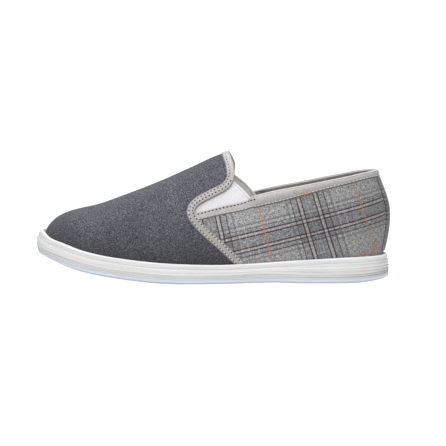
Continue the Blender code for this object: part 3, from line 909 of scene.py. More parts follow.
def strip_faces(rows, columns, closed):
    """Quads of a grid of points, wrapped round from its last column to its first where it is closed."""
    i, j = np.meshgrid(np.arange(rows - 1), np.arange(columns if closed else columns - 1), indexing="ij")
    first = i * columns
    second = first + columns
    j_next = (j + 1) % columns
    quads = np.stack([first + j, second + j, second + j_next, first + j_next], axis=-1)
    return quads.reshape(-1, 4).tolist()


def tube_faces(rows, columns):
    """Faces of a tube through rows of points, with its two ends."""
    last = (rows - 1) * columns
    return strip_faces(rows, columns, True) + [list(range(columns)), list(range(last, last + columns))]


def bridge(ring, offset):
    """Quads between a closed ring of corners and its copy at an offset."""
    ahead = np.roll(ring, -1)
    return np.column_stack([ring, ahead, ahead + offset, ring + offset]).tolist()


def turned_copy(faces, offset):
    """Faces over a copy of their points at an offset, turned to look the other way."""
    return [[corner + offset for corner in face[::-1]] for face in faces]


def cut_away(piece, outline, near, far):
    """Cut a block with an outline seen from the side, from near to far across the shoe, out of a piece."""
    count = len(outline)
    points = [(x, near, z) for x, z in outline] + [(x, far, z) for x, z in outline]
    ends = [list(range(count)), list(range(2 * count - 1, count - 1, -1))]
    tool = new_piece("tool", points, ends + bridge(np.arange(count), count))
    step = piece.modifiers.new("cut", "BOOLEAN")
    step.operation = "DIFFERENCE"
    step.solver = "EXACT"
    step.object = tool
    graph = bpy.context.evaluated_depsgraph_get()
    mesh = bpy.data.meshes.new_from_object(piece.evaluated_get(graph))
    piece.modifiers.clear()
    piece.data = mesh
    bpy.data.objects.remove(tool)


def rightward(curve):
    """Unit directions to the right of a curve seen from the side."""
    tangent = unit(np.gradient(curve, axis=0))
    return np.column_stack([tangent[:, 1], -tangent[:, 0]])


def vamp_line(steps):
    """Middle of the vamp's tape seen from the side."""
    return spline(columns_of(VAMP_EDGE, "x z"), False, steps)


def opening_outline():
    """Outline of all that the upper leaves open."""
    middle = vamp_line(OPENING_STEPS)
    edge = middle + TAPE_EDGE * rightward(middle)
    notch = int(np.argmin(edge[:, 0]))
    collar_x = np.arange(edge[notch, 0] + OPENING_STEP, COLLAR[-1].x, OPENING_STEP)
    collar = np.column_stack([collar_x, along(COLLAR, "top", collar_x) - COLLAR_EDGE_DROP])
    corners = [(OPENING_REAR, collar[-1, 1]), (OPENING_REAR, OPENING_TOP), (edge[-1, 0], OPENING_TOP)]
    return np.vstack([edge[notch:][::-1], collar, corners])


def last_sheet():
    """Points and faces of the canvas from inside the cup to the ridge, with its length and climb."""
    columns = len(RUNS)
    lip = along(SOLE, "lip", RUN_X)
    angles = np.linspace(0.0, TOP_ANGLE, ARCH_STEPS + 1)[:-1]
    grid = skin(RUNS[None], angles[:, None], 0.0)
    bottom = grid[0].copy()
    bottom[:, 2] = lip - CUP_DEPTH + FIT_GAP
    grid = np.vstack([bottom[None], grid])
    middle = slice(HEEL_STEPS, HEEL_STEPS + MID_STEPS + 1)
    ridge = last_point(RUNS[middle], TOP_ANGLE)
    points = np.vstack([grid.reshape(-1, 3), ridge])
    faces = strip_faces(ARCH_STEPS + 1, columns, True)
    top = ARCH_STEPS * columns
    from_heel = np.minimum(np.arange(columns), columns - np.arange(columns))
    over = top + columns + np.clip(from_heel - HEEL_STEPS, 0, MID_STEPS)
    for i in range(columns):
        j = (i + 1) % columns
        corners = [top + j, top + i, over[i], over[j]]
        faces.append(corners if over[i] != over[j] else corners[:3])
    length, climb = cloth_lengths(grid, columns // 2)
    climb -= lip_crest(RUN_X) - lip
    ridge_climb = climb[-1, middle] + RIDGE_CLIMB
    return points, faces, np.append(length, ridge[:, 0]), np.append(climb, ridge_climb)


def cloth_lengths(grid, half):
    """Length along the cloth from midfoot and climb up it from the lip, at each point of a grid."""
    start = np.zeros((len(grid), 1))
    steps = np.linalg.norm(np.diff(grid, axis=1, append=grid[:, :1]), axis=2)
    near = np.cumsum(np.hstack([start, steps[:, :half]]), axis=1)
    far = np.cumsum(np.hstack([start, steps[:, half:][:, ::-1]]), axis=1)
    from_heel = np.hstack([near, far[:, 1:half][:, ::-1]])
    length = HEEL_CENTRE_X + from_heel[:, HEEL_STEPS][:, None] - from_heel
    rises = np.linalg.norm(np.diff(grid, axis=0), axis=2)
    climb = np.cumsum(np.vstack([np.zeros((1, grid.shape[1])), rises]), axis=0)
    return length, climb - climb[1]


def face_directions(points, faces):
    """Unit directions out of a sheet at its points."""
    directions = np.zeros_like(points)
    for face in faces:
        corners = points[face]
        directions[face] += np.cross(corners[2] - corners[0], corners[-1] - corners[1])
    return unit(directions)


def weft_climb(length):
    """How far the check's lines along the shoe have risen at a length."""
    return length * (WEFT_RISE + WEFT_BEND * length)


def build_upper(looks):
    """Vamp and quarter: two faces of one canvas shell with its lining, parted under the vamp's tape."""
    points, faces, length, climb = last_sheet()
    count = len(points)
    inside = points - face_directions(points, faces) * CANVAS_WALL
    lining = turned_copy(faces, count) + bridge(np.arange(len(RUNS)), count)
    shell = new_piece("shell", [points, inside], faces + lining, looks["canvas"], looks["lining"])
    kinds = np.repeat([0, 1], [len(faces), len(lining)])
    shell.data.polygons.foreach_set("material_index", kinds)
    level = points[:, 2] + weft_climb(length) - weft_climb(points[:, 0])
    chart(shell, "Weave", [length, length], climb)
    chart(shell, "Check", [length, length], level)
    cut_away(shell, opening_outline(), -OPENING_SIDE, OPENING_SIDE)
    line = vamp_line(LINE_STEPS)
    middles = np.zeros(len(shell.data.polygons) * 3)
    shell.data.polygons.foreach_get("center", middles)
    middles = middles.reshape(-1, 3) / MM
    front = middles[:, 0] < np.interp(middles[:, 2], line[:, 1], line[:, 0])
    vamp = keep_faces(shell, "vamp", front)
    quarter = keep_faces(shell, "quarter", ~front)
    quarter.data.materials[0] = looks["check"]
    bpy.data.objects.remove(shell)
    place(vamp, "canvas", "upper")
    place(quarter, "check_cloth", "upper")


def keep_faces(source, name, kept):
    """Copy of a piece with only some of its faces."""
    piece = bpy.data.objects.new(name, source.data.copy())
    bpy.context.scene.collection.objects.link(piece)
    body = bmesh.new()
    body.from_mesh(piece.data)
    body.faces.ensure_lookup_table()
    dropped = [face for face, keep in zip(body.faces, kept) if not keep]
    bmesh.ops.delete(body, geom=dropped, context="FACES")
    body.to_mesh(piece.data)
    body.free()
    return piece


def vamp_path():
    """Middle of the vamp's tape from the outer sole over the tongue to the inner sole.

    Gives the lengths along it and a row for each place: its length x and height z on the shoe, its
    angle on the section, its rearward way seen from the side (x and z), and its side.
    """
    line = vamp_line(LINE_STEPS)
    line = line[line[:, 1] > along(SOLE, "lip", line[:, 0]) - TAPE_TUCK]
    under = line[:, 1] < along(LAST, "ridge", line[:, 0])
    end = int(np.argmin(under))
    angles = angle_at_height(*line[:end].T)
    rows = np.column_stack([line[:end], angles, rightward(line)[:end]])
    crown = np.repeat(rows[-1:], CROWN_STEPS, axis=0)
    crown[:, 2] = np.linspace(angles[-1], TOP_ANGLE, CROWN_STEPS + 1)[1:]
    rows = np.vstack([rows, crown])
    halves = []
    for side in (OUTER, INNER):
        lengths = lengths_along(last_point(run_at(rows[:, 0], side), rows[:, 2]))
        even = np.linspace(0.0, lengths[-1], int(lengths[-1] / PATH_STEP) + 1)
        half = resampled(rows, lengths, even)
        halves.append(np.column_stack([half, np.full(len(half), side)]))
    path = np.vstack([halves[0], halves[1][::-1][1:]])
    return lengths_along(last_point(run_at(path[:, 0], path[:, 5]), path[:, 2])), path


def on_vamp_path(path, rear, out):
    """Points beside the vamp's tape path, a distance to its rear and out from the canvas."""
    x0, z0, angle0, way_x, way_z, side = path.T[..., None]
    x = x0 + rear * way_x
    over_top = smooth_step(*CROWN_TURN, z0)
    angle = angle_at_height(x, z0 + rear * way_z) * (1.0 - over_top) + angle0 * over_top
    return skin(run_at(x, side), angle, out)


def sweep(name, points, lengths, girth, edges, shades, *materials):
    """Closed tape through rows of points, one loop across it for each place along its length."""
    piece = new_piece(name, points, tube_faces(*points.shape[:2]), *materials)
    chart(piece, "Weave", lengths[:, None], girth)
    chart(piece, "Edge", *edges)
    chart(piece, "Shade", shades, shades)
    return piece


def loop_across(rows, half, sink, flange):
    """Distances across and heights of a tape's loop at each place along it."""
    share, over, height, sunk, flanged = columns_of(rows, "half over height sink flange").T
    across = share * half[:, None] + over + flanged * flange[:, None]
    return across, height - sunk * sink[:, None]


def row_of(rows, name):
    """Number of the row with a name in a table."""
    return [row.place for row in rows].index(name)


def front_cut(z):
    """How far the vamp tape's front edge stands back from its full width at a height."""
    return GORE_TAPE_CUT * smooth_step(*GORE_CUT_RISE, z) - TONGUE_TAPE_GAIN * smooth_step(*GAIN_RISE, z)


def front_row(z):
    """Place of the front needle row across the vamp's tape at a height."""
    shift = ARM_ROW_SHIFT * smooth_step(*ARM_RISE, z) + TONGUE_ROW_SHIFT * smooth_step(*ROW_RISE, z)
    return FRONT_ROW_IN - TAPE_WIDTH / 2.0 + front_cut(z) + shift


def rear_row(z):
    """Place of the rear needle row across the vamp's tape at a height."""
    return TAPE_WIDTH / 2.0 - REAR_ROW_IN - ARM_ROW_SHIFT * smooth_step(*ARM_RISE, z)


def build_vamp_tape(looks):
    """Tape sewn flat over the seam, round the gore and folded over the edge of the tongue."""
    lengths, path = vamp_path()
    z = path[:, 1]
    fold = smooth_step(*FOLD_RISE, z)
    sink = TAPE_SINK * smooth_step(*SINK_RISE, z) * (1.0 - fold) + TONGUE_SINK * fold
    half = TAPE_WIDTH / 2.0
    across, height = loop_across(VAMP_LOOP, np.full(len(path), half), sink, -TONGUE_FLANGE * fold)
    from_crown = 1.0 - smooth_step(*CROWN_ANGLES, path[:, 2])
    reach = np.where(path[:, 5] == INNER, FAR_TONGUE_REACH, -NEAR_TONGUE_CUT)
    reach = (reach * smooth_step(*TONGUE_RISE, z) * from_crown)[:, None]
    slim = front_cut(z)[:, None]
    ends = columns_of(VAMP_LOOP, "half")[:, 0]
    across += reach * (ends == 1.0) + slim * (ends == -1.0)
    across[:, row_of(VAMP_LOOP, "front row")] = front_row(z)
    across[:, row_of(VAMP_LOOP, "rear row")] = rear_row(z) + reach[:, 0]
    points = on_vamp_path(path, across, height)
    # Painted light on the arm and tongue, painted shade down the tape's middle
    lit = ARM_LIT * smooth_step(*ARM_RISE, z) + (1.0 - ARM_LIT) * smooth_step(*TONGUE_RISE, z)
    middle = MIDDLE_SHARE + (TONGUE_SHARE - MIDDLE_SHARE) * lit[:, None]
    border = PLAIN_SHARE + (TONGUE_SHARE - PLAIN_SHARE) * lit[:, None]
    shades = border + (middle - border) * hump(across, MIDDLE_SPREAD)
    # Distances from the tape's edges, for painted shade along them
    edges = (across + half - slim, half + reach - across)
    piece = sweep("vamp_binding", points, lengths, across, edges, shades, looks["tape"])
    place(piece, "tape", "vamp_tape")


def collar_path():
    """Runs along the collar from the outer notch round the heel to the inner notch, and their lengths."""
    start = float(run_at(COLLAR_START_X, OUTER))
    end = float(run_at(COLLAR_START_X, INNER)) - ROUND
    runs = np.linspace(start, end, int((start - end) / PATH_STEP) + 1)
    edge = last_point(runs, angle_under_collar(runs, np.zeros(len(runs))))
    return runs, lengths_along(edge), edge[:, 0]


def on_collar_path(runs, drop, out):
    """Points on the collar a drop under its top edge and a distance out from the canvas."""
    return skin(runs[:, None], angle_under_collar(runs[:, None], drop), out)


def collar_puff(depth, drop):
    """How far the padding under the collar's tape lifts it, most where the tape is deep."""
    share = np.clip(drop / depth, 0.0, 1.0)
    return COLLAR_PUFF * smooth_step(*PUFF_DEPTHS, depth) * np.sin(math.pi * share)


def collar_surface(depth, drop):
    """Height of the collar tape's face at a drop under its top edge."""
    rows = [row for row in COLLAR_LOOP if row.sink == 0.0 and row.height > FACE_HEIGHT][::-1]
    share, over, height = columns_of(rows, "half over height").T
    levels = [np.interp(low, share * deep + over, height) for deep, low in zip(depth, drop)]
    return np.array(levels) + collar_puff(depth, drop)


def build_collar_tape(looks):
    """Rolled tape over the collar, flat along the gores and folded over the edge behind them."""
    runs, lengths, x = collar_path()
    fold = smooth_step(*COLLAR_FOLD, x)
    depth = along(COLLAR, "tape", x)
    sink = TAPE_SINK * (1.0 - fold) + COLLAR_SINK * fold
    across, height = loop_across(COLLAR_LOOP, depth, sink, COLLAR_FLANGE * depth * fold)
    x = x[:, None]
    depth = depth[:, None]
    ends = np.minimum(lengths, lengths[-1] - lengths)[:, None]
    slimmed = END_HEIGHT + (1.0 - END_HEIGHT) * smooth_step(0.0, END_REACH, ends)
    height = np.where(height > 0.0, height * slimmed, height)
    height += np.where(height > FACE_HEIGHT, collar_puff(depth, across), 0.0)
    points = on_collar_path(runs, across, height)
    # Painted shade along the collar tape's lower edge and in the crease under its rim
    from_crease = CREASE_SOFT + CREASE_SLOPE * np.abs(across - CREASE_DROP)
    edges = (depth - across, np.where(x > CREASE_FROM, from_crease, TAPE_WIDTH))
    # Painted highlight on the outside of the rolled rim, painted shade lower down
    order = np.arange(len(COLLAR_LOOP))
    rolled = smooth_step(*ROLL_START, x) * (order <= row_of(COLLAR_LOOP, "roll shoulder"))
    shades = PLAIN_SHARE + (np.clip(across / depth, 0.0, 1.0) - PLAIN_SHARE) * rolled
    looks_used = (looks["tape"], looks["lining"])
    piece = sweep("collar_binding", points, lengths, across, edges, shades, *looks_used)
    inside = order >= row_of(COLLAR_LOOP, "roll inside")
    kinds = np.append(np.tile(inside, len(runs) - 1), [False, False])
    piece.data.polygons.foreach_set("material_index", kinds.astype(int))
    place(piece, "tape", "collar_tape")


def gore_edge(rows, rise, shares):
    """Points along one side of the elastic panel seen from the side, its free end raised."""
    edge = columns_of(rows, "x z")
    edge[-1] += rise
    return resampled(edge, np.linspace(0.0, 1.0, len(edge)), shares)


def build_gore(name, node, side, rise, bow, look):
    """Elastic panel behind the notch, its free edge turned into a thin hem."""
    shares = 1.0 - np.linspace(0.0, 1.0, GORE_ROWS) ** GORE_CROWDING
    ups = np.linspace(0.0, 1.0, GORE_COLUMNS)
    low = gore_edge(GORE_LOWER, rise, shares)
    high = gore_edge(GORE_UPPER, rise, shares)
    flat = low[:, None] + (high - low)[:, None] * ups[:, None]
    edge = high[0] - low[0]
    square = np.array([edge[1], -edge[0]]) / np.hypot(*edge)
    flat += bow * square * (shares[:, None] ** BOW_POWER * np.sin(math.pi * ups))[..., None]
    from_edge = np.linalg.norm(flat - flat[:1], axis=2)
    bead = HEM_BEAD * hump(from_edge - HEM_MIDDLE, HEM_WIDTH)
    bead -= HEM_GROOVE * hump(from_edge - HEM_END, HEM_GROOVE_WIDTH)
    runs = run_at(flat[..., 0], side)
    angles = angle_at_height(flat[..., 0], flat[..., 1])
    face = skin(runs, angles, GORE_FACE + bead)
    back = skin(runs, angles, GORE_FACE - GORE_THICKNESS - bead)
    count = GORE_ROWS * GORE_COLUMNS
    quads = strip_faces(GORE_ROWS, GORE_COLUMNS, False)
    grid = np.arange(count).reshape(GORE_ROWS, GORE_COLUMNS)
    rim = np.concatenate([grid[0], grid[1:, -1], grid[-1, -2::-1], grid[-2:0:-1, 0]])
    piece = new_piece(name, [face, back], quads + turned_copy(quads, count) + bridge(rim, count), look)
    chart(piece, "Weave", [from_edge, from_edge], ups * GORE_CLIMB)
    place(piece, "elastic", node)


def build_back_strip(looks):
    """Strip of the check over the back seam, between the lip of the cup and the collar's tape."""
    across = np.linspace(-1.0, 1.0, STRIP_COLUMNS)
    runs = -across * BACK_STRIP_WIDTH / 2.0 * STRIP_STRETCH
    ups = np.linspace(0.0, 1.0, STRIP_ROWS)[:, None]
    top = angle_under_collar(runs, along(COLLAR, "tape", station(runs).x) - STRIP_UNDER_TAPE)
    angles = STRIP_LOW_ANGLE + (top - STRIP_LOW_ANGLE) * ups
    edge = np.sqrt(1.0 - np.abs(across) ** STRIP_EDGE_POWER)
    points = skin(runs[None], angles, STRIP_GAP + STRIP_THICKNESS * edge)
    piece = new_piece("heel_strip", points, strip_faces(*angles.shape, False), looks["check"])
    warp = STRIP_WARP - runs
    weft = points[..., 2] + STRIP_WEFT - weft_climb(points[..., 0])
    length = warp
    for _ in range(UPRIGHT_ROUNDS):
        level = weft + weft_climb(length)
        length = (warp - level * WARP_LEAN) / (1.0 + level * WARP_SPREAD)
    chart(piece, "Check", length, level)
    chart(piece, "Weave", warp, points[..., 2])
    place(piece, "check_cloth", "back_strip")


def loop_at(out, height):
    """Loop of points at a distance out from the last's edge and a height."""
    s = station(RUNS)
    return np.column_stack([s.x + s.out_x * out, s.y + s.out_y * out, height])


def loops_piece(name, grid, material):
    """Closed piece through loops of points, its first and last loops filled straight across."""
    rows, columns = grid.shape[:2]
    half = columns // 2
    faces = strip_faces(rows, columns, True)
    for start in (0, (rows - 1) * columns):
        faces.append([start, start + 1, start + columns - 1])
        for i in range(1, half - 1):
            faces.append([start + i, start + i + 1, start + columns - i - 1, start + columns - i])
        faces.append([start + half - 1, start + half, start + half + 1])
    return new_piece(name, grid, faces, material)


def chart_sole(piece, grid, low, high):
    """Charts of a layer of the sole: run and girth, and its share of the way up the side."""
    half = len(RUNS) // 2
    folded = np.append(RUNS[: half + 1], ROUND - RUNS[half + 1 :])
    girth = np.cumsum(np.linalg.norm(np.diff(grid, axis=0, prepend=grid[:1]), axis=2), axis=0)
    chart(piece, "Weave", folded, girth)
    chart(piece, "Side", RUN_X, (grid[..., 2] - low) / (high - low))


def lip_crest(x):
    """Height of the lip's crest at length x."""
    return along(SOLE, "lip", x) + LIP_RISE * (along(SOLE, "flare", x) - PLAIN_FLARE)


def side_curves(rows, names, steps):
    """Smooth curves through columns of a table, with steps between its rows."""
    levels = np.arange(len(rows))
    places = np.linspace(0.0, levels[-1], levels[-1] * steps + 1)
    return [steady_curve(levels, values, places) for values in columns_of(rows, names).T]


def build_midsole(looks):
    """Cup with softly ribbed side, rounded lip and a floor for the upper and insole."""
    heel = smooth_step(*RIB_CHANGE, RUN_X)
    toe = smooth_step(*TOE_ROUND, RUN_X)
    flare = along(SOLE, "flare", RUN_X)
    lip = along(SOLE, "lip", RUN_X)
    crest = lip_crest(RUN_X)
    low = along(SOLE, "bottom", RUN_X) + OUTSOLE_THICKNESS + FIT_GAP / 2.0
    ribbed = RIB_SHARE + HEEL_RIB_GAIN * smooth_step(*HEEL_RIBS, RUN_X)
    curves = side_curves(CUP_SIDE, "heel_share fore_share heel_in fore_in", SIDE_STEPS)
    loops = []
    for heel_part, fore_part, heel_in, fore_in in zip(*curves):
        part = heel_part * heel + fore_part * (1.0 - heel)
        set_in = heel_in * heel + fore_in * (1.0 - heel)
        tuck = JOINT_TUCK * np.maximum(1.0 - part / TUCK_SHARE, 0.0)
        lean = LIP_LEAN * (np.maximum(part - LIP_LEAN_FROM, 0.0) / (1.0 - LIP_LEAN_FROM)) ** 2
        out = flare - ribbed * set_in - (1.0 - ribbed) * RIB_MEAN - toe * (tuck + lean)
        height = low + part * (crest - low)
        loops.append(loop_at(out, height))
    for turn in np.linspace(0.0, TOP_ANGLE, LIP_STEPS + 1)[1:]:
        over = LIP_CREST_OUT + (out - LIP_CREST_OUT) * math.cos(turn)
        loops.append(loop_at(over, height + (crest - height) * math.sin(turn)))
    inner_crest = (LIP_CREST_OUT + LIP_INNER_EDGE) / 2.0
    loops.append(loop_at(inner_crest, lip + LIP_INNER_SHARE * (crest - lip)))
    loops.append(loop_at(LIP_INNER_EDGE, lip - LIP_EDGE_DROP))
    loops.append(loop_at(CUP_WALL_OUT, lip - LIP_INNER_DROP))
    loops.append(loop_at(CUP_WALL_OUT, lip - CUP_DEPTH))
    grid = np.stack(loops)
    cup = loops_piece("cupsole", grid, looks["white_rubber"])
    chart_sole(cup, grid, low, crest)
    place(cup, "white_rubber", "midsole")


def build_outsole(looks):
    """Bottom layer with its side band and flex grooves across the forefoot and heel."""
    flare = along(SOLE, "flare", RUN_X)
    bottom = along(SOLE, "bottom", RUN_X)
    toe = smooth_step(*TOE_ROUND, RUN_X)
    loops = []
    for height, inset in zip(*side_curves(OUTSOLE_SIDE, "height set_in", BAND_STEPS)):
        tuck = TOE_TUCK + (JOINT_TUCK - TOE_TUCK) * height / OUTSOLE_THICKNESS
        loops.append(loop_at(flare - inset - toe * tuck, bottom + height))
    grid = np.stack(loops)
    outsole = loops_piece("tread_sole", grid, looks["cool_rubber"])
    chart_sole(outsole, grid, bottom, bottom + OUTSOLE_THICKNESS)
    for first, last in TREAD_RANGES:
        for front in np.arange(first, last, TREAD_PITCH):
            near = float(station(run_at(front, OUTER)).y) + TREAD_MARGIN
            far = float(station(run_at(front, INNER)).y) - TREAD_MARGIN
            rear = front + TREAD_WIDTH
            low = float(along(SOLE, "bottom", front)) - TREAD_BELOW
            high = low + TREAD_BELOW + TREAD_DEPTH
            cut_away(outsole, [(front, low), (rear, low), (rear, high), (front, high)], near, far)
    outsole.data.set_sharp_from_angle(angle=math.radians(TREAD_SHARP))
    place(outsole, "cool_rubber", "outsole")


def build_insole(looks):
    """Cloth-covered foam footbed, cupped a little round the heel."""
    floor = along(SOLE, "lip", RUN_X) - CUP_DEPTH + FIT_GAP
    loops = [loop_at(-INSOLE_SET_IN, floor)]
    for turn in np.linspace(0.0, TOP_ANGLE, INSOLE_STEPS):
        out = -INSOLE_SET_IN - INSOLE_ROUND * (1.0 - math.cos(turn))
        height = floor + INSOLE_THICKNESS - INSOLE_ROUND * (1.0 - math.sin(turn))
        loops.append(loop_at(out, height))
    rim = loops[-1]
    centre = np.column_stack([*spine(RUN_X), rim[:, 2]])
    cupping = INSOLE_CUPPING * smooth_step(*INSOLE_HEEL, RUN_X) + INSOLE_HOLLOW
    for share in INSOLE_SHARES:
        loop = centre + (rim - centre) * share
        loop[:, 2] -= cupping * (1.0 - share**2) - cupping * INSOLE_RIM
        loops.append(loop)
    grid = np.stack(loops)
    footbed = loops_piece("footbed", grid, looks["footbed"])
    chart(footbed, "Weave", grid[..., 0], grid[..., 1])
    place(footbed, "footbed", "insole")


def repeated(name, points, block, material):
    """One mesh of many small forms, each with the same faces over its own points."""
    count, each = points.shape[:2]
    faces = [[corner + i * each for corner in face] for i in range(count) for face in block]
    return new_piece(name, points, faces, material)


def thread_mesh(name, rows, length, radius, material):
    """Stitches as one mesh: a short bent thread at each middle, along its way, its ends sunk in."""
    middles, ways, ups = [np.vstack(parts) for parts in zip(*rows)]
    across = np.cross(ups, ways)
    points = []
    for spot, girth in THREAD_SHAPE:
        size = girth * radius
        drop = -THREAD_SINK * radius * spot**4
        for turn in np.linspace(0.0, 2.0 * math.pi, THREAD_SIDES + 1)[:-1]:
            offset = ways * spot * length / 2.0 + across * size * math.cos(turn)
            points.append(middles + offset + ups * (size * math.sin(turn) + drop))
    return repeated(name, np.stack(points, axis=1), tube_faces(len(THREAD_SHAPE), THREAD_SIDES), material)


def hole_mesh(name, rows, material):
    """Needle holes as one mesh: a small dished disc of painted shade at each middle."""
    middles, ways, ups, sizes = [np.concatenate(parts) for parts in zip(*rows)]
    across = np.cross(ups, ways)
    points = [middles - ups * HOLE_DISH]
    for turn in np.linspace(0.0, 2.0 * math.pi, HOLE_SIDES + 1)[:-1]:
        spread = ways * HOLE_LENGTH * math.cos(turn) + across * HOLE_WIDTH * math.sin(turn)
        points.append(middles + spread * sizes[:, None])
    block = [[0, 1 + k, 1 + (k + 1) % HOLE_SIDES] for k in range(HOLE_SIDES)]
    return repeated(name, np.stack(points, axis=1), block, material)


def row_frames(on_row, spots, out):
    """Middles, ways and outward directions at spots along a row on a tape."""
    middles = on_row(spots, out)
    ways = unit(on_row(spots + NEARBY, out) - on_row(spots - NEARBY, out))
    return middles, ways, unit(on_row(spots, out + NEARBY) - middles)


def build_vamp_sewing(looks):
    """Rows of stitches and needle holes on the vamp's tape."""
    lengths, path = vamp_path()
    crest = lengths[int(np.argmax(path[:, 2]))]
    spots = np.arange(VAMP_ROW_END, lengths[-1] - VAMP_ROW_END, STITCH_PITCH)
    heights = np.interp(spots, lengths, path[:, 1])
    front = (front_row, FRONT_ROW_OUT, FRONT_ROW_TOP)
    rear = (rear_row, REAR_ROW_OUT, REAR_ROW_TOP)
    threads = []
    holes = []
    for across_at, out, top in (front, rear):

        def on_row(at, lift):
            rows = resampled(path, lengths, at)
            rows[:, 5] = np.where(at < crest, OUTER, INNER)
            return on_vamp_path(rows, across_at(rows[:, 1])[:, None], lift)[:, 0]

        kept = spots[heights < top]
        climbed = heights[heights < top]
        threads.append(row_frames(on_row, kept, out))
        middles, ways, ups = row_frames(on_row, kept + STITCH_PITCH / 2.0, out)
        sizes = SEAM_HOLE_SIZE + (1.0 - SEAM_HOLE_SIZE) * smooth_step(*SEAM_HOLES_RISE, climbed)
        sizes += (TONGUE_HOLE_SIZE - 1.0) * smooth_step(*TONGUE_HOLES_RISE, climbed)
        holes.append((middles + ups * HOLE_LIFT, ways, ups, sizes))
    place(thread_mesh("vamp_stitches", threads, STITCH_LENGTH, THREAD_RADIUS, looks["thread"]), "tape")
    place(hole_mesh("vamp_needle_holes", holes, looks["hole"]), "tape")


def gore_tape_top(x):
    """Height of the straight top edge of the tape along the gore, carried on past its roll."""
    first, second = COLLAR[0], COLLAR[2]
    return first.top + (second.top - first.top) * (x - first.x) / (second.x - first.x)


def build_collar_sewing(looks):
    """Stitches along the collar tape's lower edge, needle holes above the gores, and one loose yarn."""
    runs, lengths, x = collar_path()

    def row(drop_at):
        def on_row(spots, out):
            at = np.interp(spots, lengths, x)
            depth = along(COLLAR, "tape", at)
            drop = drop_at(at, depth)
            lift = collar_surface(depth, drop) + out
            return on_collar_path(np.interp(spots, lengths, runs), drop[:, None], lift[:, None])[:, 0]

        return on_row

    def low_drop(at, depth):
        return depth - COLLAR_ROW_UP

    def high_drop(at, depth):
        return CREASE_DROP + np.maximum(along(COLLAR, "top", at) - gore_tape_top(at), 0.0)

    def yarn_drop(at, depth):
        return depth - YARN_UP - YARN_LIFT * np.abs(np.sin((at - LOOSE_YARN[0]) * YARN_TURN))

    spots = np.arange(COLLAR_ROW_END, lengths[-1] - COLLAR_ROW_END, STITCH_PITCH)
    threads = [row_frames(row(low_drop), spots, COLLAR_ROW_OUT)]
    place(thread_mesh("collar_stitches", threads, COLLAR_STITCH, COLLAR_THREAD, looks["thread"]), "tape")
    spots = np.arange(COLLAR_HOLES_START, lengths[-1] - COLLAR_HOLES_START, STITCH_PITCH)
    spots = spots[np.interp(spots, lengths, x) < COLLAR_HOLES_END]
    holes = [(*row_frames(row(high_drop), spots, COLLAR_HOLE_OUT), np.ones(len(spots)))]
    place(hole_mesh("collar_needle_holes", holes, looks["hole"]), "tape")
    outer = slice(0, len(x) // 2)
    start, stop = np.interp(LOOSE_YARN, x[outer], lengths[outer])
    yarn = [row_frames(row(yarn_drop), np.arange(start, stop, YARN_STEP), YARN_OUT)]
    place(thread_mesh("loose_yarn", yarn, YARN_LENGTH, YARN_RADIUS, looks["orange_thread"]), "check_cloth")


def build_strip_sewing(looks):
    """Two rows of dark stitches down each side of the back strip."""
    drop = along(COLLAR, "tape", STRIP_X) + STRIP_ROW_TOP
    threads = []
    for inset in STRIP_ROWS_IN:
        for side in (OUTER, INNER):
            run = -side * (BACK_STRIP_WIDTH / 2.0 - inset)
            angles = np.linspace(STRIP_ROW_LOW, angle_under_collar(run, drop), STRIP_ROW_STEPS)
            lengths = lengths_along(last_point(run, angles))

            def on_row(at, out):
                return skin(run, np.interp(at, lengths, angles), out)

            spots = np.arange(STRIP_ROW_END, lengths[-1] - STRIP_ROW_END, STRIP_PITCH)
            threads.append(row_frames(on_row, spots, STRIP_THICKNESS + STRIP_GAP))
    stitches = thread_mesh("strip_stitches", threads, STRIP_STITCH, STRIP_THREAD, looks["dark_thread"])
    place(stitches, "check_cloth")


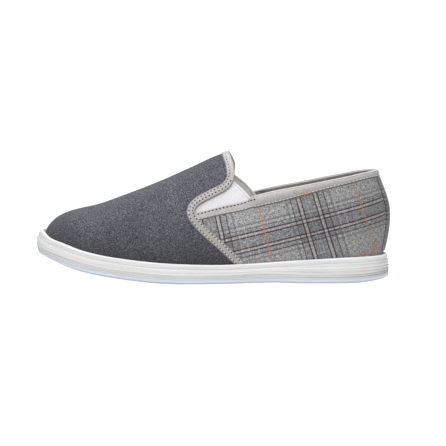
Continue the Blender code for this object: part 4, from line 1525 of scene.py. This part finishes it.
class Nodes:
    """Nodes of a material or of the world, with short ways to add more."""

    def __init__(self, tree):
        self.tree = tree

    def new(self, kind, sockets=None, **settings):
        """Node of a kind with its settings, its sockets set or linked from other sockets."""
        made = self.tree.nodes.new(kind)
        for name, value in settings.items():
            setattr(made, name, value)
        for key, value in (sockets or {}).items():
            if isinstance(value, bpy.types.NodeSocket):
                self.tree.links.new(value, made.inputs[key])
            else:
                made.inputs[key].default_value = value
        return made

    def math(self, operation, *values):
        """Result of an operation on values."""
        return self.new("ShaderNodeMath", dict(enumerate(values)), operation=operation).outputs[0]

    def add(self, first, second):
        """Two values together."""
        return self.math("ADD", first, second)

    def times(self, first, second):
        """One value times another."""
        return self.math("MULTIPLY", first, second)

    def divide(self, first, second):
        """One value divided by another."""
        return self.math("DIVIDE", first, second)

    def blend(self, factor, first, second, kind="MIX"):
        """Colour between two colours, or their product."""
        sockets = {MIX_FACTOR: factor, MIX_FIRST: first, MIX_SECOND: second}
        return self.new("ShaderNodeMix", sockets, data_type="RGBA", blend_type=kind).outputs[MIX_RESULT]

    def ramp(self, value, stops):
        """Colour and cover of a ramp over a value, from stops of place, colour and any cover but full."""
        made = self.new("ShaderNodeValToRGB", {"Fac": value})
        elements = made.color_ramp.elements
        elements.remove(elements[1])
        elements[0].position = stops[0][0]
        for i, (at, colour, *cover) in enumerate(stops):
            stop = elements.new(at) if i else elements[0]
            stop.color = (*colour, *(cover or [1.0]))
        return made.outputs

    def shaded(self, colour, value, stops):
        """Colour times the colour of a ramp over a value."""
        return self.blend(1.0, colour, self.ramp(value, stops)[0], "MULTIPLY")

    def mottled(self, value, dark, light):
        """Colour from dark to light over a grain."""
        return self.ramp(value, [(0.3, dark), (0.7, light)])[0]

    def spot(self):
        """Place on the shoe, in metres."""
        return self.new("ShaderNodeTexCoord").outputs["Object"]

    def pair(self, layer):
        """Pair of values of a chart, in millimetres."""
        return self.new("ShaderNodeUVMap", uv_map=layer).outputs["UV"]

    def values(self, pair):
        """The two values of a pair, one by one."""
        return self.new("ShaderNodeSeparateXYZ", {0: pair}).outputs[:2]

    def scaled(self, pair, scale):
        """Pair of values stretched by a scale."""
        return self.new("ShaderNodeMapping", {"Vector": pair, "Scale": scale}).outputs[0]

    def speckle(self, vector, scale, detail=2.0, roughness=0.6):
        """Fine grain as a value round a half."""
        sockets = {"Vector": vector, "Scale": scale, "Detail": detail, "Roughness": roughness}
        return self.new("ShaderNodeTexNoise", sockets).outputs["Fac"]

    def waves(self, value, pitch):
        """Ridges at a pitch across a length, from -1 to 1."""
        return self.math("SINE", self.times(value, 2.0 * math.pi / pitch))

    def plain_weave(self, first, second, pitch):
        """Crossed ridges at a pitch along two lengths, from -1 to 1."""
        return self.times(self.waves(first, pitch), self.waves(second, pitch))

    def finish(self, colour, **settings):
        """Shader with its colour, and settings with the names of its sockets."""
        shader = self.tree.nodes["Principled BSDF"]
        self.tree.links.new(colour, shader.inputs["Base Color"])
        for name, value in settings.items():
            shader.inputs[name.replace("_", " ").title()].default_value = value
        return shader

    def emboss(self, shader, height, depth, strength):
        """Bump on a shader from a height, of a depth in millimetres."""
        sockets = {"Height": height, "Distance": depth * MM, "Strength": strength}
        self.tree.links.new(self.new("ShaderNodeBump", sockets).outputs[0], shader.inputs["Normal"])

    def emboss_weave(self, shader, weave, share, grain, depth, strength):
        """Bump on a shader from a share of a weave with a grain on it."""
        self.emboss(shader, self.add(self.times(weave, share), grain), depth, strength)


def new_look(name):
    """Empty material with its nodes."""
    material = bpy.data.materials.new(name)
    material.use_nodes = True
    return material, Nodes(material.node_tree)


def make_canvas():
    """Heathered dark canvas with painted shade, darker toward the sole and toward the tongue."""
    material, look = new_look("heather_canvas")
    length, climb = look.values(look.pair("Weave"))
    fine = look.speckle(look.spot(), scale=1150.0, roughness=0.75)
    broad = look.speckle(look.spot(), scale=45.0, detail=3.0)
    colour = look.shaded(look.ramp(fine, HEATHER_TONES)[0], broad, CANVAS_CAST)
    # Painted shade by the climb from the sole, then along the vamp toward the tongue
    colour = look.shaded(colour, look.divide(climb, CANVAS_SHADE_HEIGHT), CANVAS_SHADES)
    colour = look.shaded(colour, look.add(look.divide(length, VAMP_REACH), 1.0), VAMP_SHADES)
    shader = look.finish(colour, roughness=0.92, sheen_weight=0.04)
    weave = look.plain_weave(length, climb, CANVAS_PITCH)
    look.emboss_weave(shader, weave, share=0.35, grain=fine, depth=0.35, strength=0.6)
    return material


def line_stops(lines, repeat):
    """Stops of a ramp that draws a check's lines over one repeat."""
    stops = []
    for row in lines:
        low = (row.at - row.width / 2.0) % repeat
        high = low + row.width
        edges = ((low - LINE_SOFT, 0.0), (low, row.cover), (high, row.cover), (high + LINE_SOFT, 0.0))
        stops += [((at % repeat) / repeat, row.colour, cover) for at, cover in edges]
    return sorted(stops, key=lambda stop: stop[0])


def band_stops(bands, repeat):
    """Stops of a ramp that shades a check's bands over one repeat."""
    plain = grey(1.0)
    stops = [(0.0, plain)]
    for row in bands:
        full = (row.start + BAND_SOFT, row.end - BAND_SOFT)
        edges = ((row.start, plain), (full[0], row.shade), (full[1], row.shade), (row.end, plain))
        stops += [(at / repeat, shade) for at, shade in edges]
    return stops


def make_check():
    """Woven check: grey ground, darker bands, brown and orange lines, charted by its repeat."""
    material, look = new_look("check_cloth")
    length, height = look.values(look.pair("Check"))
    spread = look.add(look.times(length, WARP_SPREAD), WARP_LEAN)
    warp = look.add(length, look.times(height, spread))
    slope = look.add(look.times(length, WEFT_BEND), WEFT_RISE)
    weft = look.math("SUBTRACT", height, look.times(length, slope))
    warp_from = look.math("SUBTRACT", warp, WARP_START)
    weft_from = look.math("SUBTRACT", weft, WEFT_START)
    warp_place = look.math("FRACT", look.divide(warp_from, WARP_REPEAT))
    weft_place = look.math("FRACT", look.divide(weft_from, WEFT_REPEAT))
    threads = look.new("ShaderNodeCombineXYZ", {0: warp, 1: weft}).outputs[0]
    warp_grain = look.speckle(look.scaled(threads, (*SLUB_SCALE, 1.0)), scale=1.0, roughness=0.7)
    weft_grain = look.speckle(look.scaled(threads, (*SLUB_SCALE[::-1], 1.0)), scale=1.0, roughness=0.7)
    fine = look.speckle(threads, scale=1.9, detail=1.0, roughness=0.7)
    grain = look.add(look.add(warp_grain, weft_grain), fine)
    cloth = look.ramp(look.divide(grain, GRAIN_COUNT), GROUND_TONES)[0]
    cloth = look.shaded(cloth, warp_place, band_stops(WARP_BANDS, WARP_REPEAT))
    cloth = look.shaded(cloth, weft_place, band_stops(WEFT_BANDS, WEFT_REPEAT))
    broken = look.ramp(fine, BROKEN_TONES)[0]
    wefts = [(weft_place, lines, WEFT_REPEAT) for lines in (WEFT_LIGHT, WEFT_DARK)]
    warps = [(warp_place, lines, WARP_REPEAT) for lines in (WARP_LIGHT, WARP_DARK)]
    for at, lines, repeat in wefts + warps:
        colour, cover = look.ramp(at, line_stops(lines, repeat))
        cloth = look.blend(look.times(cover, broken), cloth, colour)
    # Painted shade that darkens the check toward the heel
    cloth = look.shaded(cloth, look.divide(length, HEEL_REACH), CHECK_SHADES)
    shader = look.finish(cloth, roughness=0.9, sheen_weight=0.1)
    twill = look.waves(look.add(warp, weft), CHECK_PITCH)
    look.emboss_weave(shader, twill, share=0.25, grain=grain, depth=0.3, strength=0.5)
    return material


def make_tape():
    """Grey twill tape with faint slubs, with painted shade along its edges, folds and creases."""
    material, look = new_look("twill_tape")
    length, across = look.values(look.pair("Weave"))
    fine = look.speckle(look.spot(), scale=900.0, roughness=0.7)
    broad = look.speckle(look.spot(), scale=120.0)
    colour = look.ramp(look.add(look.times(fine, FINE_SHARE), look.times(broad, SLUB_SHARE)), TAPE_TONES)[0]
    # Painted highlight on the collar's rim and painted shade down the tapes
    colour = look.shaded(colour, look.values(look.pair("Shade"))[0], COLLAR_SHADES)
    # Painted shade near the tape's edges, folds and creases
    nearest = look.math("MINIMUM", *look.values(look.pair("Edge")))
    colour = look.shaded(colour, look.divide(nearest, TAPE_WIDTH), FOLD_TONES)
    shader = look.finish(colour, roughness=0.85, sheen_weight=0.15)
    twill = look.waves(look.add(length, look.times(across, TWILL_SLOPE)), TWILL_PITCH)
    look.emboss_weave(shader, twill, share=0.3, grain=fine, depth=0.25, strength=0.5)
    return material


def make_elastic(name, dark, light):
    """White elastic webbing with fine ribs along its free edge and a shaded line under its hem."""
    material, look = new_look(name)
    from_edge = look.values(look.pair("Weave"))[0]
    hem = look.math("COMPARE", from_edge, HEM_END, HEM_LINE)
    fine = look.speckle(look.spot(), scale=1100.0)
    colour = look.blend(look.times(hem, HEM_COVER), look.mottled(fine, dark, light), (*HEM_SHADE, 1.0))
    shader = look.finish(
        colour,
        roughness=0.8,
        subsurface_weight=0.7,
        subsurface_radius=(1.0, 0.95, 0.9),
        subsurface_scale=GORE_THICKNESS * 2.0 * MM,
    )
    ribs = look.waves(from_edge, GORE_PITCH)
    look.emboss_weave(shader, ribs, share=0.5, grain=fine, depth=0.18, strength=0.4)
    return material


def make_lining(name, dark, light):
    """Soft woven lining or footbed cover."""
    material, look = new_look(name)
    length, climb = look.values(look.pair("Weave"))
    fine = look.speckle(look.spot(), scale=1000.0)
    shader = look.finish(look.mottled(fine, dark, light), roughness=0.95)
    weave = look.plain_weave(length, climb, LINING_PITCH)
    look.emboss_weave(shader, weave, share=0.4, grain=fine, depth=0.25, strength=0.5)
    return material


def make_rubber(name, dark, light, roughness, bands):
    """Moulded rubber with faint streaks along the sole and bands of painted light and shade up its side."""
    material, look = new_look(name)
    streaks = look.speckle(look.scaled(look.pair("Weave"), STREAK_SCALE), scale=1.0, detail=3.0)
    grain = look.speckle(look.spot(), scale=700.0)
    streaked = look.ramp(streaks, [(0.35, dark), (0.65, light)])[0]
    # Painted light and shade up the side
    colour = look.shaded(streaked, look.values(look.pair("Side"))[1], bands)
    shader = look.finish(colour, roughness=roughness)
    pores = look.times(grain, PORE_SHARE)
    look.emboss_weave(shader, streaks, share=0.7, grain=pores, depth=0.25, strength=0.35)
    return material


def make_thread(name, dark, light):
    """Twisted sewing thread, or the painted shade inside a needle hole."""
    material, look = new_look(name)
    fine = look.speckle(look.spot(), scale=1600.0)
    shader = look.finish(look.mottled(fine, dark, light), roughness=0.7)
    look.emboss(shader, fine, depth=0.1, strength=0.4)
    return material


def make_floor():
    """Pale matt top of a light table."""
    material, look = new_look("pale_floor")
    faint = look.speckle(look.spot(), scale=3.0)
    colour = look.mottled(faint, grey(0.14), grey(0.15))
    white = (*grey(1.0), 1.0)
    look.finish(colour, roughness=0.9, emission_color=white, emission_strength=FLOOR_GLOW)
    return material


def build_stage():
    """Floor, and soft light from above and all round."""
    ends = ((-1, -1), (1, -1), (1, 1), (-1, 1))
    corners = [(x * FLOOR_REACH, y * FLOOR_REACH, -FLOOR_DROP) for x, y in ends]
    floor = new_piece("floor", corners, [(0, 1, 2, 3)], make_floor())
    world = bpy.data.worlds.new("studio")
    bpy.context.scene.world = world
    world.use_nodes = True
    look = Nodes(world.node_tree)
    way = look.new("ShaderNodeTexCoord").outputs["Generated"]
    height = look.new("ShaderNodeSeparateXYZ", {0: way}).outputs[2]
    dome = look.ramp(height, [(at, grey(level)) for at, level in DOME])[0]
    background = world.node_tree.nodes["Background"]
    world.node_tree.links.new(dome, background.inputs["Color"])
    background.inputs["Strength"].default_value = DOME_STRENGTH
    lamp = bpy.data.lights.new("key", "AREA")
    lamp.shape = "DISK"
    lamp.size = LAMP_SIZE
    lamp.energy = LAMP_POWER
    key = bpy.data.objects.new("key", lamp)
    key.location = LAMP_PLACE
    key.rotation_euler = (math.radians(LAMP_TILT), 0.0, math.radians(LAMP_TURN))
    bpy.context.scene.collection.objects.link(key)
    bpy.context.scene.view_settings.view_transform = "Standard"


def build_camera():
    """Camera at the photograph's angle and framing."""
    data = bpy.data.cameras.new("camera")
    data.sensor_width = SENSOR
    data.lens = VIEW_DISTANCE * SENSOR / (PIXEL_SIZE * IMAGE_PIXELS)
    data.shift_x = (IMAGE_PIXELS / 2.0 - MIDDLE_PIXEL_X) / IMAGE_PIXELS
    data.shift_y = (MIDDLE_PIXEL_Y - IMAGE_PIXELS / 2.0) / IMAGE_PIXELS
    data.clip_end = VIEW_END
    camera = bpy.data.objects.new("camera", data)
    elevation = math.radians(VIEW_ELEVATION)
    back = VIEW_DISTANCE * math.cos(elevation)
    height = VIEW_HEIGHT + VIEW_DISTANCE * math.sin(elevation)
    camera.location = (0.0, -back * MM, height * MM)
    tilt = Matrix.Rotation(TOP_ANGLE - elevation, 3, "X")
    roll = Matrix.Rotation(math.radians(VIEW_ROLL), 3, "Z")
    camera.rotation_euler = (tilt @ roll).to_euler()
    bpy.context.scene.collection.objects.link(camera)
    bpy.context.scene.camera = camera


LOOKS = {
    "canvas": make_canvas(),
    "check": make_check(),
    "tape": make_tape(),
    "elastic": make_elastic("elastic_webbing", (0.61, 0.61, 0.63), (0.71, 0.71, 0.735)),
    # Far panel: a lighter, warmer copy of the webbing, painted light on its inner face, which lies in shade
    "inner_elastic_painted_light": make_elastic("inner_elastic_webbing", (0.84, 0.82, 0.80), (0.93, 0.91, 0.89)),
    "lining": make_lining("lining", (0.17, 0.155, 0.15), (0.27, 0.25, 0.24)),
    "footbed": make_lining("footbed", (0.30, 0.28, 0.26), (0.42, 0.39, 0.37)),
    "white_rubber": make_rubber("white_rubber", grey(0.67), grey(0.82), 0.5, CUP_BANDS),
    "cool_rubber": make_rubber("cool_rubber", (0.49, 0.52, 0.58), (0.55, 0.58, 0.63), 0.42, BAND_SHADES),
    "thread": make_thread("pale_thread", (0.42, 0.407, 0.395), (0.62, 0.61, 0.595)),
    "orange_thread": make_thread("orange_thread", (0.50, 0.20, 0.08), (0.72, 0.34, 0.15)),
    "dark_thread": make_thread("dark_thread", (0.03, 0.028, 0.03), (0.07, 0.066, 0.07)),
    # Needle holes: dark discs that paint the shade inside them; the tape is not pierced
    "hole": make_thread("needle_hole_shade", (0.012, 0.011, 0.01), (0.03, 0.027, 0.025)),
}
build_outsole(LOOKS)
build_midsole(LOOKS)
build_insole(LOOKS)
build_upper(LOOKS)
build_gore("gore_outer_panel", "gore_outer", OUTER, 0.0, OUTER_GORE_BOW, LOOKS["elastic"])
build_gore("gore_inner_panel", "gore_inner", INNER, INNER_GORE_RISE, INNER_GORE_BOW, LOOKS["inner_elastic_painted_light"])
build_vamp_tape(LOOKS)
build_collar_tape(LOOKS)
build_back_strip(LOOKS)
build_vamp_sewing(LOOKS)
build_collar_sewing(LOOKS)
build_strip_sewing(LOOKS)
build_stage()
build_camera()
